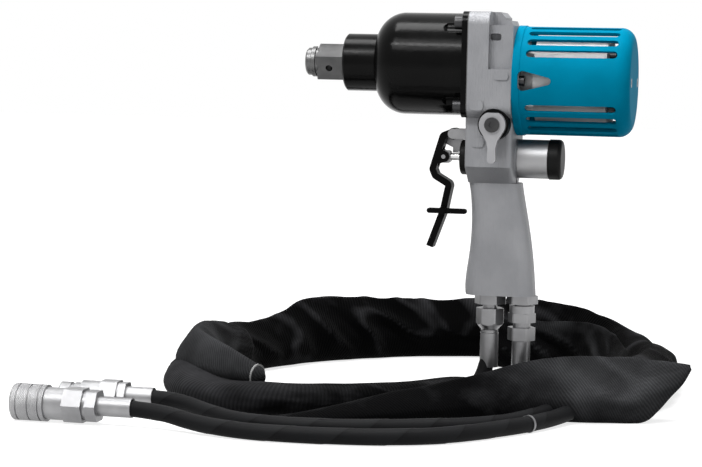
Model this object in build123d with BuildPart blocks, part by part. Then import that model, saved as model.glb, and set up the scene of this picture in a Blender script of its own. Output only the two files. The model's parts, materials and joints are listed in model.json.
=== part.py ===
"""Hydraulic impact wrench with a 1 inch square drive, its hose pair, hose sleeve and couplers.

Millimetres. The part stands on z = 0. The drive points to -X and the tool's axis lies along X.
The handle points down, and the hoses leave it, loop behind the tool in their fabric sleeve and
come back in front of it to the two couplers.
"""

from build123d import *
import math
import os

os.makedirs("parts", exist_ok=True)

# Where the tool stands: the face between hammer case and housing, on the drive's axis
TOOL_X = 47.0
TOOL_Y = -106.0
HEAD_Z = 328.0

# General clearances
RUN_FIT = 0.05
CLEAR = 0.3
SCREW_CLEAR = 0.1

# Square drive and anvil
DRIVE_SQUARE = 25.4
DRIVE_TURN = 30.0
DRIVE_LENGTH = 29.0
DRIVE_HOLE_R = 3.4
TIP_R = 13.2
TIP_LENGTH = 11.0
RING_GROOVE_R = 11.4
RING_GROOVE_FROM_TIP = 5.6
RING_GROOVE_WIDTH = 4.4
O_RING_WIRE = 1.8
ANVIL_SHANK_R = 17.0
ANVIL_BODY_R = 15.0
ANVIL_LUG_R = 21.0
ANVIL_LUG_WIDTH = 12.0
ANVIL_COLLAR_R = 22.5
ANVIL_COLLAR = 3.5

# Hammer case
CASE_R = 48.6
CASE_WALL = 5.0
CASE_LENGTH = 126.4
NOSE_R = 27.5
DOME_R = 27.7
DOME_FROM_NOSE = 58.4
DOME_CENTRE_X = DOME_FROM_NOSE - CASE_LENGTH
FLANGE = 2 * (CASE_R + 1.15)
FLANGE_CORNER = 12.0
FLANGE_THICKNESS = 5.3
GASKET = 0.8
BUSHING_R = 22.0
BUSHING_LENGTH = 26.0
SEAL_LENGTH = 5.0
CASE_BOLT_OFFSET = FLANGE / 2 - 10.75
CASE_BOLT_R = 4.0
CASE_BOLT_LENGTH = 24.0
CASE_BOLT_HEAD_R = 6.5
CASE_BOLT_HEAD = 8.0
CASE_BOLT_SOCKET = 6.0
POCKET_R = 9.5
POCKET_LENGTH = 17.0
POCKET_CONE = 9.0

# Twin hammer mechanism
CAGE_R = CASE_R - 8.6
CAGE_DISC = 9.0
CAGE_FROM_CASE = 2.5
CAGE_FROM_HOUSING = 10.7
CAGE_DEPTH_IN_DOME = 12.0
CAGE_CHAMFER = 4.0
CAGE_BAR_WIDTH = 14.0
CAGE_BAR_DEPTH = 7.0
HAMMER_R = CAGE_R - 9.0
HAMMER_GAP = 0.6
HAMMER_BORE_R = 22.0
HAMMER_JAW = 9.0
HAMMER_JAW_Y = 11.2
HAMMER_JAW_Z = 18.0
HAMMER_PIN_R = 4.5
HAMMER_PIN_OFFSET = HAMMER_R + 1.0

# Gear motor behind the housing
GEAR_MODULE = 2.2
GEAR_TEETH = 13
GEAR_ANGLE = 25.0
GEAR_ADDENDUM = 0.85
GEAR_DEDENDUM = 1.1
GEAR_BACKLASH = 0.2
GEAR_CENTRES = GEAR_MODULE * GEAR_TEETH
MOTOR_Z = HEAD_Z - GEAR_CENTRES / 2
SHAFT_R = 10.0
JOURNAL_R = 8.0
MOTOR_R = 42.0
MOTOR_BODY_LENGTH = 56.5
MOTOR_COVER_LENGTH = 12.8
MOTOR_FLANGE = 6.5
MOTOR_NECK_R = 33.0
MOTOR_NECK = 12.5
MOTOR_BOLT_CIRCLE_R = 34.5
MOTOR_BOLT_R = 3.0
MOTOR_BOLT_HEAD_R = 5.0
MOTOR_BOLT_HEAD = 6.0
MOUNT_SCREW_CIRCLE_R = 42.6
MOUNT_SCREW_R = 3.0
MOUNT_SCREW_HEAD_R = 4.8
MOUNT_SCREW_HEAD = 5.0
MOUNT_SCREW_DEPTH = 9.0

# Motor guard
GUARD_R = 51.3
GUARD_RIM_R = 52.2
GUARD_RIM = 6.5
GUARD_WALL = 3.0
GUARD_LENGTH = 109.0
GUARD_ROUND = 13.0
SLOT_WIDTH = 7.6
SLOT_LENGTH = 85.0
SLOT_FROM_FRONT = 12.0
SLOT_PITCH = 15.0
SLOTS_PER_SIDE = 9
WINDOW_HALF = 9.3
WINDOW_LENGTH = 31.0
WINDOW_FROM_FRONT = 5.7
WINDOW_CORNER_R = 4.4
WINDOW_TIP_R = 3.4
GUARD_SCREW_OFFSET = 27.0
GUARD_SCREW_R = 2.5
GUARD_SCREW_HEAD_R = 4.4
GUARD_SCREW_HEAD = 2.4
GUARD_SCREW_LENGTH = 8.6
GUARD_SCREW_SOCKET = 4.0
STANDOFF_R = 5.5

# Main housing with its handle
HOUSING_LENGTH = 41.5
HOUSING_FRONT = 19.5
HOUSING_WAIST = FLANGE / 2 - 6.75
HOUSING_STEP_Z = -4.0
BLOCK_FRONT = -3.6
BLOCK_HALF = 36.0
BLOCK_BOTTOM = -96.0
BEARING_R = 17.5
BEARING_WIDTH = 12.0
SHAFT_SEAL_R = 15.0
SHAFT_SEAL_WIDTH = 7.0
HANDLE_BOTTOM = -219.5
HANDLE_THICKNESS = 39.0

# Valve and trigger
VALVE_Z = -88.6
SPOOL_R = 8.0
SPOOL_ROD_R = 3.4
VALVE_CYLINDER_R = 18.5
VALVE_CYLINDER_LENGTH = 30.0
VALVE_CAP_R = 19.2
VALVE_CAP_LENGTH = 12.5
SPRING_R = 7.4
SPRING_WIRE_R = 0.9
SPRING_TURNS = 5
GLAND_R = 16.8
GLAND_THICKNESS = 5.8
BOSS_HEIGHT = 2.6
TRIGGER_PIVOT = (-19.6, -66.4)
TRIGGER_PIN_R = 2.5
TRIGGER_WIDTH = 15.0
TRIGGER_THICKNESS = 6.4
TRIGGER_HUB_R = 5.6
LINK_PIN = (-28.9, VALVE_Z)
LINK_PIN_R = 2.0
CLEVIS_EAR = 3.2
CLEVIS_HALF_HEIGHT = 4.8
CATCH_PIVOT = (-27.8, -140.3)
CATCH_REAR = 23.6
CATCH_FRONT = 15.2
CATCH_HEIGHT = 5.0
CATCH_WIDTH = 5.0
CATCH_PIN_R = 2.0

# Reversing valve
REVERSE_PIVOT = (25.8, -55.6)
REVERSE_SPOOL_R = 6.4
REVERSE_STEM_R = 5.0
REVERSE_RING_R = 12.4
REVERSE_RING = 6.5
REVERSE_ARM = 36.0
REVERSE_TIP_R = 4.2
REVERSE_PLATE_R = 14.6
REVERSE_PLATE_Y = -50.6
REVERSE_SCREW_HEAD_R = 7.0
REVERSE_SCREW_HEAD = 2.4
REVERSE_SCREW_R = 3.0

# Hose fittings under the handle
LEFT_PORT_X = 19.0
RIGHT_PORT_X = 50.0
PORT_THREAD_R = 8.5
PORT_DEPTH = 14.0
PORT_PASSAGE_R = 4.5
FITTING_BORE_R = 4.5
ADAPTER_HEX = 27.0
NUT_HEX = 24.0
NECK_R = 7.0
COLLAR_R = 12.0
LEFT_ADAPTER_HEX_LENGTH = 9.3
LEFT_NUT_Z = -233.0
LEFT_NUT_LENGTH = 11.8
LEFT_SHOULDER_LENGTH = 9.0
LEFT_FERRULE_Z = -257.0
RIGHT_ADAPTER_HEX_LENGTH = 7.9
RIGHT_COLLAR_Z = -229.3
RIGHT_COLLAR_LENGTH = 7.4
RIGHT_NUT_LENGTH = 8.7
RIGHT_SHOULDER_Z = -250.3
RIGHT_SHOULDER_LENGTH = 12.4
RIGHT_FERRULE_Z = -263.5
FERRULE_R = 8.9
LEFT_FERRULE_LENGTH = 33.0
RIGHT_FERRULE_LENGTH = 30.0
FERRULE_CAP = 3.0

# Hoses
HOSE_R = 7.5
RUN_SHARE = 0.45

# Couplers at the hoses' far ends
COUPLER_AXIS_Z = 16.8
COUPLER_BORE_R = 10.0
FEMALE_TIP_X = -375.0
FEMALE_Y = -228.0
KNURL_R = 16.6
KNURL_LENGTH = 32.0
KNURL_GROOVES = (6.0, 17.0, 27.0)
COUPLER_BODY_R = 14.6
FEMALE_BORE_DEPTH = 26.0
FEMALE_BODY_END = 50.0
COUPLER_HEX = 30.0
FEMALE_HEX_END = 68.0
LOCK_NUT_HEX = 27.0
FEMALE_LOCK_NUT = (71.0, 81.0)
FEMALE_FERRULE_LENGTH = 31.0
FEMALE_HOSE_END = 84.0
MALE_TIP_X = -355.0
MALE_Y = -165.0
MALE_NOSE_LENGTH = 22.0
MALE_STEP_R = 12.4
MALE_STEP_END = 41.0
MALE_HEX_END = 57.5
MALE_NUT_END = 65.5
MALE_FERRULE_LENGTH = 25.0
MALE_HOSE_END = 69.0
POPPET_R = 6.0
POPPET_HEAD = 7.0
POPPET_STEM_R = 3.0
POPPET_TRAVEL = 5.0


def head(x=0.0, z=0.0, y=0.0):
    """Plane facing the side of the tool: local X is the tool's axis, local Y is up."""
    return Plane(origin=(TOOL_X + x, TOOL_Y + y, HEAD_Z + z), x_dir=(1, 0, 0), z_dir=(0, -1, 0))


def across(x, z=0.0, y=0.0):
    """Plane square to the tool's axis, facing the rear: local X is world Y, local Y is up."""
    return Plane(origin=(TOOL_X + x, TOOL_Y + y, HEAD_Z + z), x_dir=(0, 1, 0), z_dir=(1, 0, 0))


def level(z, x=0.0, y=0.0):
    """Level plane facing up, at a height below the drive's axis."""
    return Plane(origin=(TOOL_X + x, TOOL_Y + y, HEAD_Z + z), x_dir=(1, 0, 0), z_dir=(0, 0, 1))


def along(z=0.0, x=0.0):
    """Axis along the tool at a height measured from the drive's axis."""
    return Axis((TOOL_X + x, TOOL_Y, HEAD_Z + z), (1, 0, 0))


def save(part, name):
    """Label a finished piece and write it."""
    part.label = name
    export_step(part, f"parts/{name}.step")


# Anvil: square drive with its retainer groove, shank, collar and two striking lugs
SQUARE_END = -CASE_LENGTH - DRIVE_LENGTH
TIP_END = SQUARE_END - TIP_LENGTH
CAGE_FRONT = DOME_CENTRE_X - CAGE_DEPTH_IN_DOME
CAVITY_FRONT = CAGE_FRONT - CAGE_FROM_CASE
COLLAR_FRONT = CAVITY_FRONT - ANVIL_COLLAR
CAGE_REAR = -GASKET - CAGE_FROM_HOUSING
ANVIL_REAR = CAGE_REAR - CAGE_DISC - CLEAR

with BuildPart() as anvil:
    with BuildSketch(across(SQUARE_END)):
        Rectangle(DRIVE_SQUARE, DRIVE_SQUARE, rotation=DRIVE_TURN)
    extrude(amount=DRIVE_LENGTH)
    with BuildSketch(head()):
        with BuildLine():
            Polyline(
                (TIP_END, 0),
                (TIP_END, TIP_R - 1.6),
                (TIP_END + 1.6, TIP_R),
                (TIP_END + RING_GROOVE_FROM_TIP, TIP_R),
                (TIP_END + RING_GROOVE_FROM_TIP, RING_GROOVE_R),
                (TIP_END + RING_GROOVE_FROM_TIP + RING_GROOVE_WIDTH, RING_GROOVE_R),
                (TIP_END + RING_GROOVE_FROM_TIP + RING_GROOVE_WIDTH, TIP_R),
                (SQUARE_END + 1, TIP_R),
                (SQUARE_END + 1, 0),
                close=True,
            )
        make_face()
    revolve(axis=along())
    with BuildSketch(head()):
        with BuildLine():
            Polyline(
                (SQUARE_END + DRIVE_LENGTH, 0),
                (SQUARE_END + DRIVE_LENGTH, ANVIL_SHANK_R),
                (COLLAR_FRONT, ANVIL_SHANK_R),
                (COLLAR_FRONT, ANVIL_COLLAR_R),
                (COLLAR_FRONT + ANVIL_COLLAR, ANVIL_COLLAR_R),
                (COLLAR_FRONT + ANVIL_COLLAR, ANVIL_BODY_R),
                (ANVIL_REAR, ANVIL_BODY_R),
                (ANVIL_REAR, 0),
                close=True,
            )
        make_face()
    revolve(axis=along())
    with BuildSketch(across(CAGE_FRONT + CAGE_DISC + HAMMER_GAP)):
        Rectangle(ANVIL_LUG_WIDTH, 2 * ANVIL_LUG_R)
    extrude(amount=ANVIL_REAR - CAGE_FRONT - CAGE_DISC - HAMMER_GAP)
    drive_hole = Plane(
        origin=(TOOL_X + SQUARE_END + DRIVE_SQUARE / 2, TOOL_Y, HEAD_Z),
        x_dir=(1, 0, 0),
        z_dir=(0, -math.cos(math.radians(DRIVE_TURN)), -math.sin(math.radians(DRIVE_TURN))),
    )
    with BuildSketch(drive_hole):
        Circle(DRIVE_HOLE_R)
    extrude(amount=DRIVE_SQUARE, both=True, mode=Mode.SUBTRACT)
save(anvil.part, "anvil")

# Retainer: an O-ring under a split spring ring in the tip's groove
GROOVE_MIDDLE = TIP_END + RING_GROOVE_FROM_TIP + RING_GROOVE_WIDTH / 2
with BuildPart() as retainer_o_ring:
    with BuildSketch(head(GROOVE_MIDDLE, RING_GROOVE_R + O_RING_WIRE / 2)):
        Circle(O_RING_WIRE / 2)
    revolve(axis=along())
save(retainer_o_ring.part, "retainer_o_ring")

RETAINER_INNER = RING_GROOVE_R + O_RING_WIRE + SCREW_CLEAR
with BuildPart() as retainer_ring:
    with BuildSketch(head(GROOVE_MIDDLE, RETAINER_INNER + 0.7)):
        RectangleRounded(RING_GROOVE_WIDTH - 2 * SCREW_CLEAR, 1.4, 0.5)
    revolve(axis=along(), revolution_arc=330)
save(retainer_ring.part, "retainer_ring")

# Hammer case: bell with its nose bore, square flange and four bolt pockets
dome_start = DOME_CENTRE_X - math.sqrt(DOME_R**2 - (NOSE_R - (CASE_R - DOME_R)) ** 2)
dome_top = (DOME_CENTRE_X, CASE_R)
dome_turn = math.radians(135)
dome_middle = (
    DOME_CENTRE_X + DOME_R * math.cos(dome_turn),
    CASE_R - DOME_R + DOME_R * math.sin(dome_turn),
)
with BuildPart() as hammer_case:
    with BuildSketch(head()):
        with BuildLine():
            Polyline((-GASKET, 0), (-CASE_LENGTH, 0), (-CASE_LENGTH, NOSE_R - 1.5))
            Line((-CASE_LENGTH, NOSE_R - 1.5), (-CASE_LENGTH + 1.5, NOSE_R))
            Line((-CASE_LENGTH + 1.5, NOSE_R), (dome_start, NOSE_R))
            ThreePointArc((dome_start, NOSE_R), dome_middle, dome_top)
            Polyline(dome_top, (-GASKET, CASE_R), (-GASKET, 0))
        make_face()
    revolve(axis=along())
    with BuildSketch(across(-GASKET)):
        RectangleRounded(FLANGE, FLANGE, FLANGE_CORNER)
    extrude(amount=-FLANGE_THICKNESS)
    bolt_pads = across(-GASKET - FLANGE_THICKNESS)
    with BuildSketch(bolt_pads):
        with GridLocations(2 * CASE_BOLT_OFFSET, 2 * CASE_BOLT_OFFSET, 2, 2):
            Circle(POCKET_R)
    extrude(amount=-POCKET_LENGTH, mode=Mode.SUBTRACT)
    with BuildSketch(bolt_pads.offset(-POCKET_LENGTH)):
        with GridLocations(2 * CASE_BOLT_OFFSET, 2 * CASE_BOLT_OFFSET, 2, 2):
            Circle(POCKET_R)
    extrude(amount=-POCKET_CONE, taper=40, mode=Mode.SUBTRACT)
    with BuildSketch(bolt_pads):
        with GridLocations(2 * CASE_BOLT_OFFSET, 2 * CASE_BOLT_OFFSET, 2, 2):
            Circle(CASE_BOLT_R + SCREW_CLEAR)
    extrude(amount=FLANGE_THICKNESS, mode=Mode.SUBTRACT)
    with BuildSketch(head()):
        with BuildLine():
            Polyline(
                (-GASKET, 0),
                (-GASKET, CASE_R - CASE_WALL),
                (DOME_CENTRE_X, CASE_R - CASE_WALL),
                (CAVITY_FRONT, CASE_R - 2 * CASE_WALL),
                (CAVITY_FRONT, ANVIL_COLLAR_R + CLEAR),
                (COLLAR_FRONT - CLEAR, ANVIL_COLLAR_R + CLEAR),
                (COLLAR_FRONT - CLEAR, BUSHING_R),
                (-CASE_LENGTH, BUSHING_R),
                (-CASE_LENGTH, 0),
                close=True,
            )
        make_face()
    revolve(axis=along(), mode=Mode.SUBTRACT)
save(hammer_case.part, "hammer_case")

with BuildPart() as case_gasket:
    with BuildSketch(across(-GASKET)):
        RectangleRounded(FLANGE, FLANGE, FLANGE_CORNER)
        Circle(CASE_R - CASE_WALL, mode=Mode.SUBTRACT)
        with GridLocations(2 * CASE_BOLT_OFFSET, 2 * CASE_BOLT_OFFSET, 2, 2):
            Circle(CASE_BOLT_R + SCREW_CLEAR, mode=Mode.SUBTRACT)
    extrude(amount=GASKET)
save(case_gasket.part, "case_gasket")


def socket_screw(plane, shank_r, shank, head_r, head_height, socket):
    """Socket-head screw: the plane lies under its head and faces the head's end."""
    with BuildPart() as screw:
        with BuildSketch(plane):
            Circle(head_r)
        extrude(amount=head_height)
        with BuildSketch(plane):
            Circle(shank_r)
        extrude(amount=-shank)
        with BuildSketch(plane.offset(head_height)):
            RegularPolygon(socket / 2, 6, major_radius=False)
        extrude(amount=-head_height / 2, mode=Mode.SUBTRACT)
    return screw.part


BOLT_SEAT = -GASKET - FLANGE_THICKNESS
with BuildPart() as case_screws:
    for bolt_y in (-CASE_BOLT_OFFSET, CASE_BOLT_OFFSET):
        for bolt_z in (-CASE_BOLT_OFFSET, CASE_BOLT_OFFSET):
            seat = Plane(
                origin=(TOOL_X + BOLT_SEAT, TOOL_Y + bolt_y, HEAD_Z + bolt_z),
                x_dir=(0, 0, 1),
                z_dir=(-1, 0, 0),
            )
            add(
                socket_screw(
                    seat, CASE_BOLT_R, CASE_BOLT_LENGTH, CASE_BOLT_HEAD_R, CASE_BOLT_HEAD, CASE_BOLT_SOCKET
                )
            )
save(case_screws.part, "case_screws")

# Nose: plain bushing that carries the anvil, with a lip seal in front of it
BUSHING_FRONT = -CASE_LENGTH + SEAL_LENGTH
with BuildPart() as nose_bushing:
    with BuildSketch(across(BUSHING_FRONT)):
        Circle(BUSHING_R)
        Circle(ANVIL_SHANK_R + RUN_FIT, mode=Mode.SUBTRACT)
    extrude(amount=BUSHING_LENGTH)
save(nose_bushing.part, "nose_bushing")

with BuildPart() as nose_seal:
    with BuildSketch(head()):
        with BuildLine():
            Polyline(
                (BUSHING_FRONT, ANVIL_SHANK_R + 2.0),
                (-CASE_LENGTH + 0.6, ANVIL_SHANK_R + RUN_FIT),
                (-CASE_LENGTH + 0.6, BUSHING_R),
                (BUSHING_FRONT, BUSHING_R),
                close=True,
            )
        make_face()
    revolve(axis=along())
save(nose_seal.part, "nose_seal")

# Hammer cage: two discs joined by side bars, pinned hammers between them
CAGE_MIDDLE_LENGTH = CAGE_REAR - CAGE_FRONT - 2 * CAGE_DISC
with BuildPart() as hammer_cage:
    with BuildSketch(across(CAGE_FRONT)):
        Circle(CAGE_R)
    extrude(amount=CAGE_DISC)
    chamfer(hammer_cage.edges().group_by(Axis.X)[0], length=CAGE_CHAMFER, length2=CAGE_CHAMFER / 2)
    with BuildSketch(across(CAGE_REAR - CAGE_DISC)):
        Circle(CAGE_R)
    extrude(amount=CAGE_DISC)
    with BuildSketch(across(CAGE_FRONT + CAGE_DISC)):
        Circle(CAGE_R)
        Circle(CAGE_R - CAGE_BAR_DEPTH, mode=Mode.SUBTRACT)
        Rectangle(3 * CAGE_R, CAGE_BAR_WIDTH, mode=Mode.INTERSECT)
    extrude(amount=CAGE_MIDDLE_LENGTH)
    with BuildSketch(across(CAGE_FRONT)):
        Circle(ANVIL_BODY_R + CLEAR)
    extrude(amount=CAGE_DISC, mode=Mode.SUBTRACT)
    with BuildSketch(across(CAGE_REAR - CAGE_DISC)):
        Circle(SHAFT_R + RUN_FIT)
    extrude(amount=CAGE_DISC, mode=Mode.SUBTRACT)
    with BuildSketch(across(CAGE_FRONT)):
        with Locations((0, HAMMER_PIN_OFFSET), (0, -HAMMER_PIN_OFFSET)):
            Circle(HAMMER_PIN_R + RUN_FIT)
    extrude(amount=CAGE_REAR - CAGE_FRONT, mode=Mode.SUBTRACT)
save(hammer_cage.part, "hammer_cage")

with BuildPart() as hammer_pins:
    with BuildSketch(across(CAGE_FRONT + 1)):
        with Locations((0, HAMMER_PIN_OFFSET), (0, -HAMMER_PIN_OFFSET)):
            Circle(HAMMER_PIN_R)
    extrude(amount=CAGE_REAR - CAGE_FRONT - 2)
save(hammer_pins.part, "hammer_pins")

# Hammers: each swings on one pin and straddles the other, with a jaw that strikes the anvil's lug
HAMMER_LENGTH = (CAGE_MIDDLE_LENGTH - 3 * HAMMER_GAP) / 2
for index, hammer_name in enumerate(("front_hammer", "rear_hammer")):
    up = 1 if index == 0 else -1
    hammer_start = CAGE_FRONT + CAGE_DISC + HAMMER_GAP + index * (HAMMER_LENGTH + HAMMER_GAP)
    with BuildPart() as hammer:
        with BuildSketch(across(hammer_start)):
            Circle(HAMMER_R)
            with Locations((0, up * HAMMER_PIN_OFFSET)):
                Circle(HAMMER_PIN_R + 3)
            Circle(HAMMER_BORE_R, mode=Mode.SUBTRACT)
            with Locations((up * HAMMER_JAW_Y, up * HAMMER_JAW_Z)):
                Rectangle(HAMMER_JAW, HAMMER_JAW)
            Circle(ANVIL_BODY_R + HAMMER_GAP, mode=Mode.SUBTRACT)
            with Locations((0, up * HAMMER_PIN_OFFSET)):
                Circle(HAMMER_PIN_R + RUN_FIT, mode=Mode.SUBTRACT)
            with Locations((0, -up * HAMMER_PIN_OFFSET)):
                Circle(HAMMER_PIN_R + 1, mode=Mode.SUBTRACT)
        extrude(amount=HAMMER_LENGTH)
    save(hammer.part, hammer_name)


def motor(x):
    """Plane square to the tool's axis on the gear motor's centre line."""
    return across(x, -GEAR_CENTRES / 2)


# Gear motor: two meshed gears between the front cover, the body and the rear cover
FLANGE_X = HOUSING_LENGTH
NECK_X = FLANGE_X + MOTOR_FLANGE
BODY_X = NECK_X + MOTOR_NECK
COVER_X = BODY_X + MOTOR_BODY_LENGTH
COVER_END_X = COVER_X + MOTOR_COVER_LENGTH
PITCH_R = GEAR_CENTRES / 2
GEAR_BASE_R = PITCH_R * math.cos(math.radians(GEAR_ANGLE))
GEAR_TIP_R = PITCH_R + GEAR_ADDENDUM * GEAR_MODULE
GEAR_ROOT_R = PITCH_R - GEAR_DEDENDUM * GEAR_MODULE
CHAMBER_R = GEAR_TIP_R + RUN_FIT


def involute(angle):
    """Polar angle gained along an involute at a pressure angle, both in radians."""
    return math.tan(angle) - angle


def flank_point(radius, side):
    """Point of a tooth's flank, for a tooth that points along local Y."""
    thickness = math.pi * GEAR_MODULE / 2 - GEAR_BACKLASH
    half_at_pitch = thickness / 2 / PITCH_R
    gained = involute(math.acos(min(1.0, GEAR_BASE_R / radius)))
    half = half_at_pitch + involute(math.radians(GEAR_ANGLE)) - gained
    return (side * radius * math.sin(half), radius * math.cos(half))


def gear_blank(plane, first_angle):
    """Sketch of a spur gear on a plane, with one tooth at the first angle from local Y."""
    middle_r = (GEAR_BASE_R + GEAR_TIP_R) / 2
    root_left = (flank_point(GEAR_BASE_R, -1)[0], GEAR_ROOT_R * 0.9)
    root_right = (flank_point(GEAR_BASE_R, 1)[0], GEAR_ROOT_R * 0.9)
    with BuildSketch(plane) as blank:
        with BuildSketch(mode=Mode.PRIVATE) as tooth:
            with BuildLine():
                Line(root_left, flank_point(GEAR_BASE_R, -1))
                ThreePointArc(flank_point(GEAR_BASE_R, -1), flank_point(middle_r, -1), flank_point(GEAR_TIP_R, -1))
                ThreePointArc(flank_point(GEAR_TIP_R, -1), (0, GEAR_TIP_R), flank_point(GEAR_TIP_R, 1))
                ThreePointArc(flank_point(GEAR_TIP_R, 1), flank_point(middle_r, 1), flank_point(GEAR_BASE_R, 1))
                Line(flank_point(GEAR_BASE_R, 1), root_right)
                Line(root_right, root_left)
            make_face()
        Circle(GEAR_ROOT_R)
        with PolarLocations(0, GEAR_TEETH, start_angle=first_angle):
            add(tooth.sketch)
    return blank.sketch


GEAR_START = BODY_X + CLEAR
GEAR_LENGTH = MOTOR_BODY_LENGTH - 2 * CLEAR
JOURNAL_END = COVER_END_X - 4

with BuildPart() as drive_gear_shaft:
    extrude(gear_blank(across(GEAR_START), 180), amount=GEAR_LENGTH)
    with BuildSketch(across(CAGE_REAR - CAGE_DISC)):
        Circle(SHAFT_R)
    extrude(amount=GEAR_START - CAGE_REAR + CAGE_DISC)
    with BuildSketch(across(GEAR_START + GEAR_LENGTH)):
        Circle(JOURNAL_R)
    extrude(amount=JOURNAL_END - GEAR_START - GEAR_LENGTH)
save(drive_gear_shaft.part, "drive_gear_shaft")

IDLER_FRONT = NECK_X + 2
with BuildPart() as idler_gear:
    extrude(gear_blank(across(GEAR_START, -GEAR_CENTRES), 180 / GEAR_TEETH), amount=GEAR_LENGTH)
    with BuildSketch(across(IDLER_FRONT, -GEAR_CENTRES)):
        Circle(JOURNAL_R)
    extrude(amount=JOURNAL_END - IDLER_FRONT)
save(idler_gear.part, "idler_gear")

with BuildPart() as motor_front_cover:
    with BuildSketch(motor(FLANGE_X)):
        Circle(GUARD_R - GUARD_WALL - SCREW_CLEAR)
    extrude(amount=MOTOR_FLANGE)
    with BuildSketch(motor(NECK_X)):
        Circle(MOTOR_NECK_R)
    extrude(amount=MOTOR_NECK)
    with BuildSketch(motor(BODY_X)):
        with PolarLocations(MOTOR_BOLT_CIRCLE_R, 4, start_angle=45):
            Circle(MOTOR_BOLT_R + 2.5)
    extrude(amount=-MOTOR_NECK)
    with BuildSketch(across(FLANGE_X)):
        Circle(SHAFT_R + RUN_FIT)
    extrude(amount=MOTOR_FLANGE + MOTOR_NECK, mode=Mode.SUBTRACT)
    with BuildSketch(across(IDLER_FRONT, -GEAR_CENTRES)):
        Circle(JOURNAL_R + RUN_FIT)
    extrude(amount=BODY_X - IDLER_FRONT, mode=Mode.SUBTRACT)
    with BuildSketch(motor(FLANGE_X)):
        with PolarLocations(MOUNT_SCREW_CIRCLE_R, 4):
            Circle(MOUNT_SCREW_R + SCREW_CLEAR)
    extrude(amount=MOTOR_FLANGE, mode=Mode.SUBTRACT)
    with BuildSketch(motor(BODY_X)):
        with PolarLocations(MOTOR_BOLT_CIRCLE_R, 4, start_angle=45):
            Circle(MOTOR_BOLT_R + SCREW_CLEAR)
    extrude(amount=-MOTOR_NECK, mode=Mode.SUBTRACT)
save(motor_front_cover.part, "motor_front_cover")

with BuildPart() as motor_body:
    with BuildSketch(motor(BODY_X)):
        Circle(MOTOR_R)
        with Locations((0, PITCH_R), (0, -PITCH_R)):
            Circle(CHAMBER_R, mode=Mode.SUBTRACT)
        with PolarLocations(MOTOR_BOLT_CIRCLE_R, 4, start_angle=45):
            Circle(MOTOR_BOLT_R + SCREW_CLEAR, mode=Mode.SUBTRACT)
    extrude(amount=MOTOR_BODY_LENGTH)
save(motor_body.part, "motor_body")

GUARD_END_X = HOUSING_LENGTH + CLEAR + GUARD_LENGTH
STANDOFF_END_X = GUARD_END_X - GUARD_WALL
with BuildPart() as motor_rear_cover:
    with BuildSketch(motor(COVER_X)):
        Circle(MOTOR_R)
    extrude(amount=MOTOR_COVER_LENGTH)
    chamfer(motor_rear_cover.edges().group_by(Axis.X)[-1], length=2)
    with BuildSketch(motor(COVER_END_X)):
        with Locations((GUARD_SCREW_OFFSET, 0), (-GUARD_SCREW_OFFSET, 0)):
            Circle(STANDOFF_R)
    extrude(amount=STANDOFF_END_X - COVER_END_X)
    with BuildSketch(motor(STANDOFF_END_X)):
        with Locations((GUARD_SCREW_OFFSET, 0), (-GUARD_SCREW_OFFSET, 0)):
            Circle(GUARD_SCREW_R)
    extrude(amount=-12, mode=Mode.SUBTRACT)
    with BuildSketch(motor(COVER_X)):
        with Locations((0, PITCH_R), (0, -PITCH_R)):
            Circle(JOURNAL_R + RUN_FIT)
    extrude(amount=JOURNAL_END + 1 - COVER_X, mode=Mode.SUBTRACT)
    with BuildSketch(motor(COVER_X)):
        with PolarLocations(MOTOR_BOLT_CIRCLE_R, 4, start_angle=45):
            Circle(MOTOR_BOLT_R + SCREW_CLEAR)
    extrude(amount=MOTOR_COVER_LENGTH, mode=Mode.SUBTRACT)
save(motor_rear_cover.part, "motor_rear_cover")


def motor_ring_planes(x, radius, first_angle):
    """Four planes on a circle about the motor's centre line, facing the rear."""
    for quarter in range(4):
        angle = math.radians(first_angle + 90 * quarter)
        yield across(x, radius * math.sin(angle) - GEAR_CENTRES / 2, radius * math.cos(angle))


with BuildPart() as motor_through_bolts:
    for seat in motor_ring_planes(COVER_END_X, MOTOR_BOLT_CIRCLE_R, 45):
        add(
            socket_screw(
                seat,
                MOTOR_BOLT_R,
                MOTOR_COVER_LENGTH + MOTOR_BODY_LENGTH + MOTOR_NECK - 1,
                MOTOR_BOLT_HEAD_R,
                MOTOR_BOLT_HEAD,
                MOTOR_BOLT_HEAD_R,
            )
        )
save(motor_through_bolts.part, "motor_through_bolts")

with BuildPart() as motor_mount_screws:
    for seat in motor_ring_planes(NECK_X, MOUNT_SCREW_CIRCLE_R, 0):
        add(
            socket_screw(
                seat,
                MOUNT_SCREW_R,
                MOTOR_FLANGE + MOUNT_SCREW_DEPTH,
                MOUNT_SCREW_HEAD_R,
                MOUNT_SCREW_HEAD,
                MOUNT_SCREW_HEAD_R,
            )
        )
save(motor_mount_screws.part, "motor_mount_screws")

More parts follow.
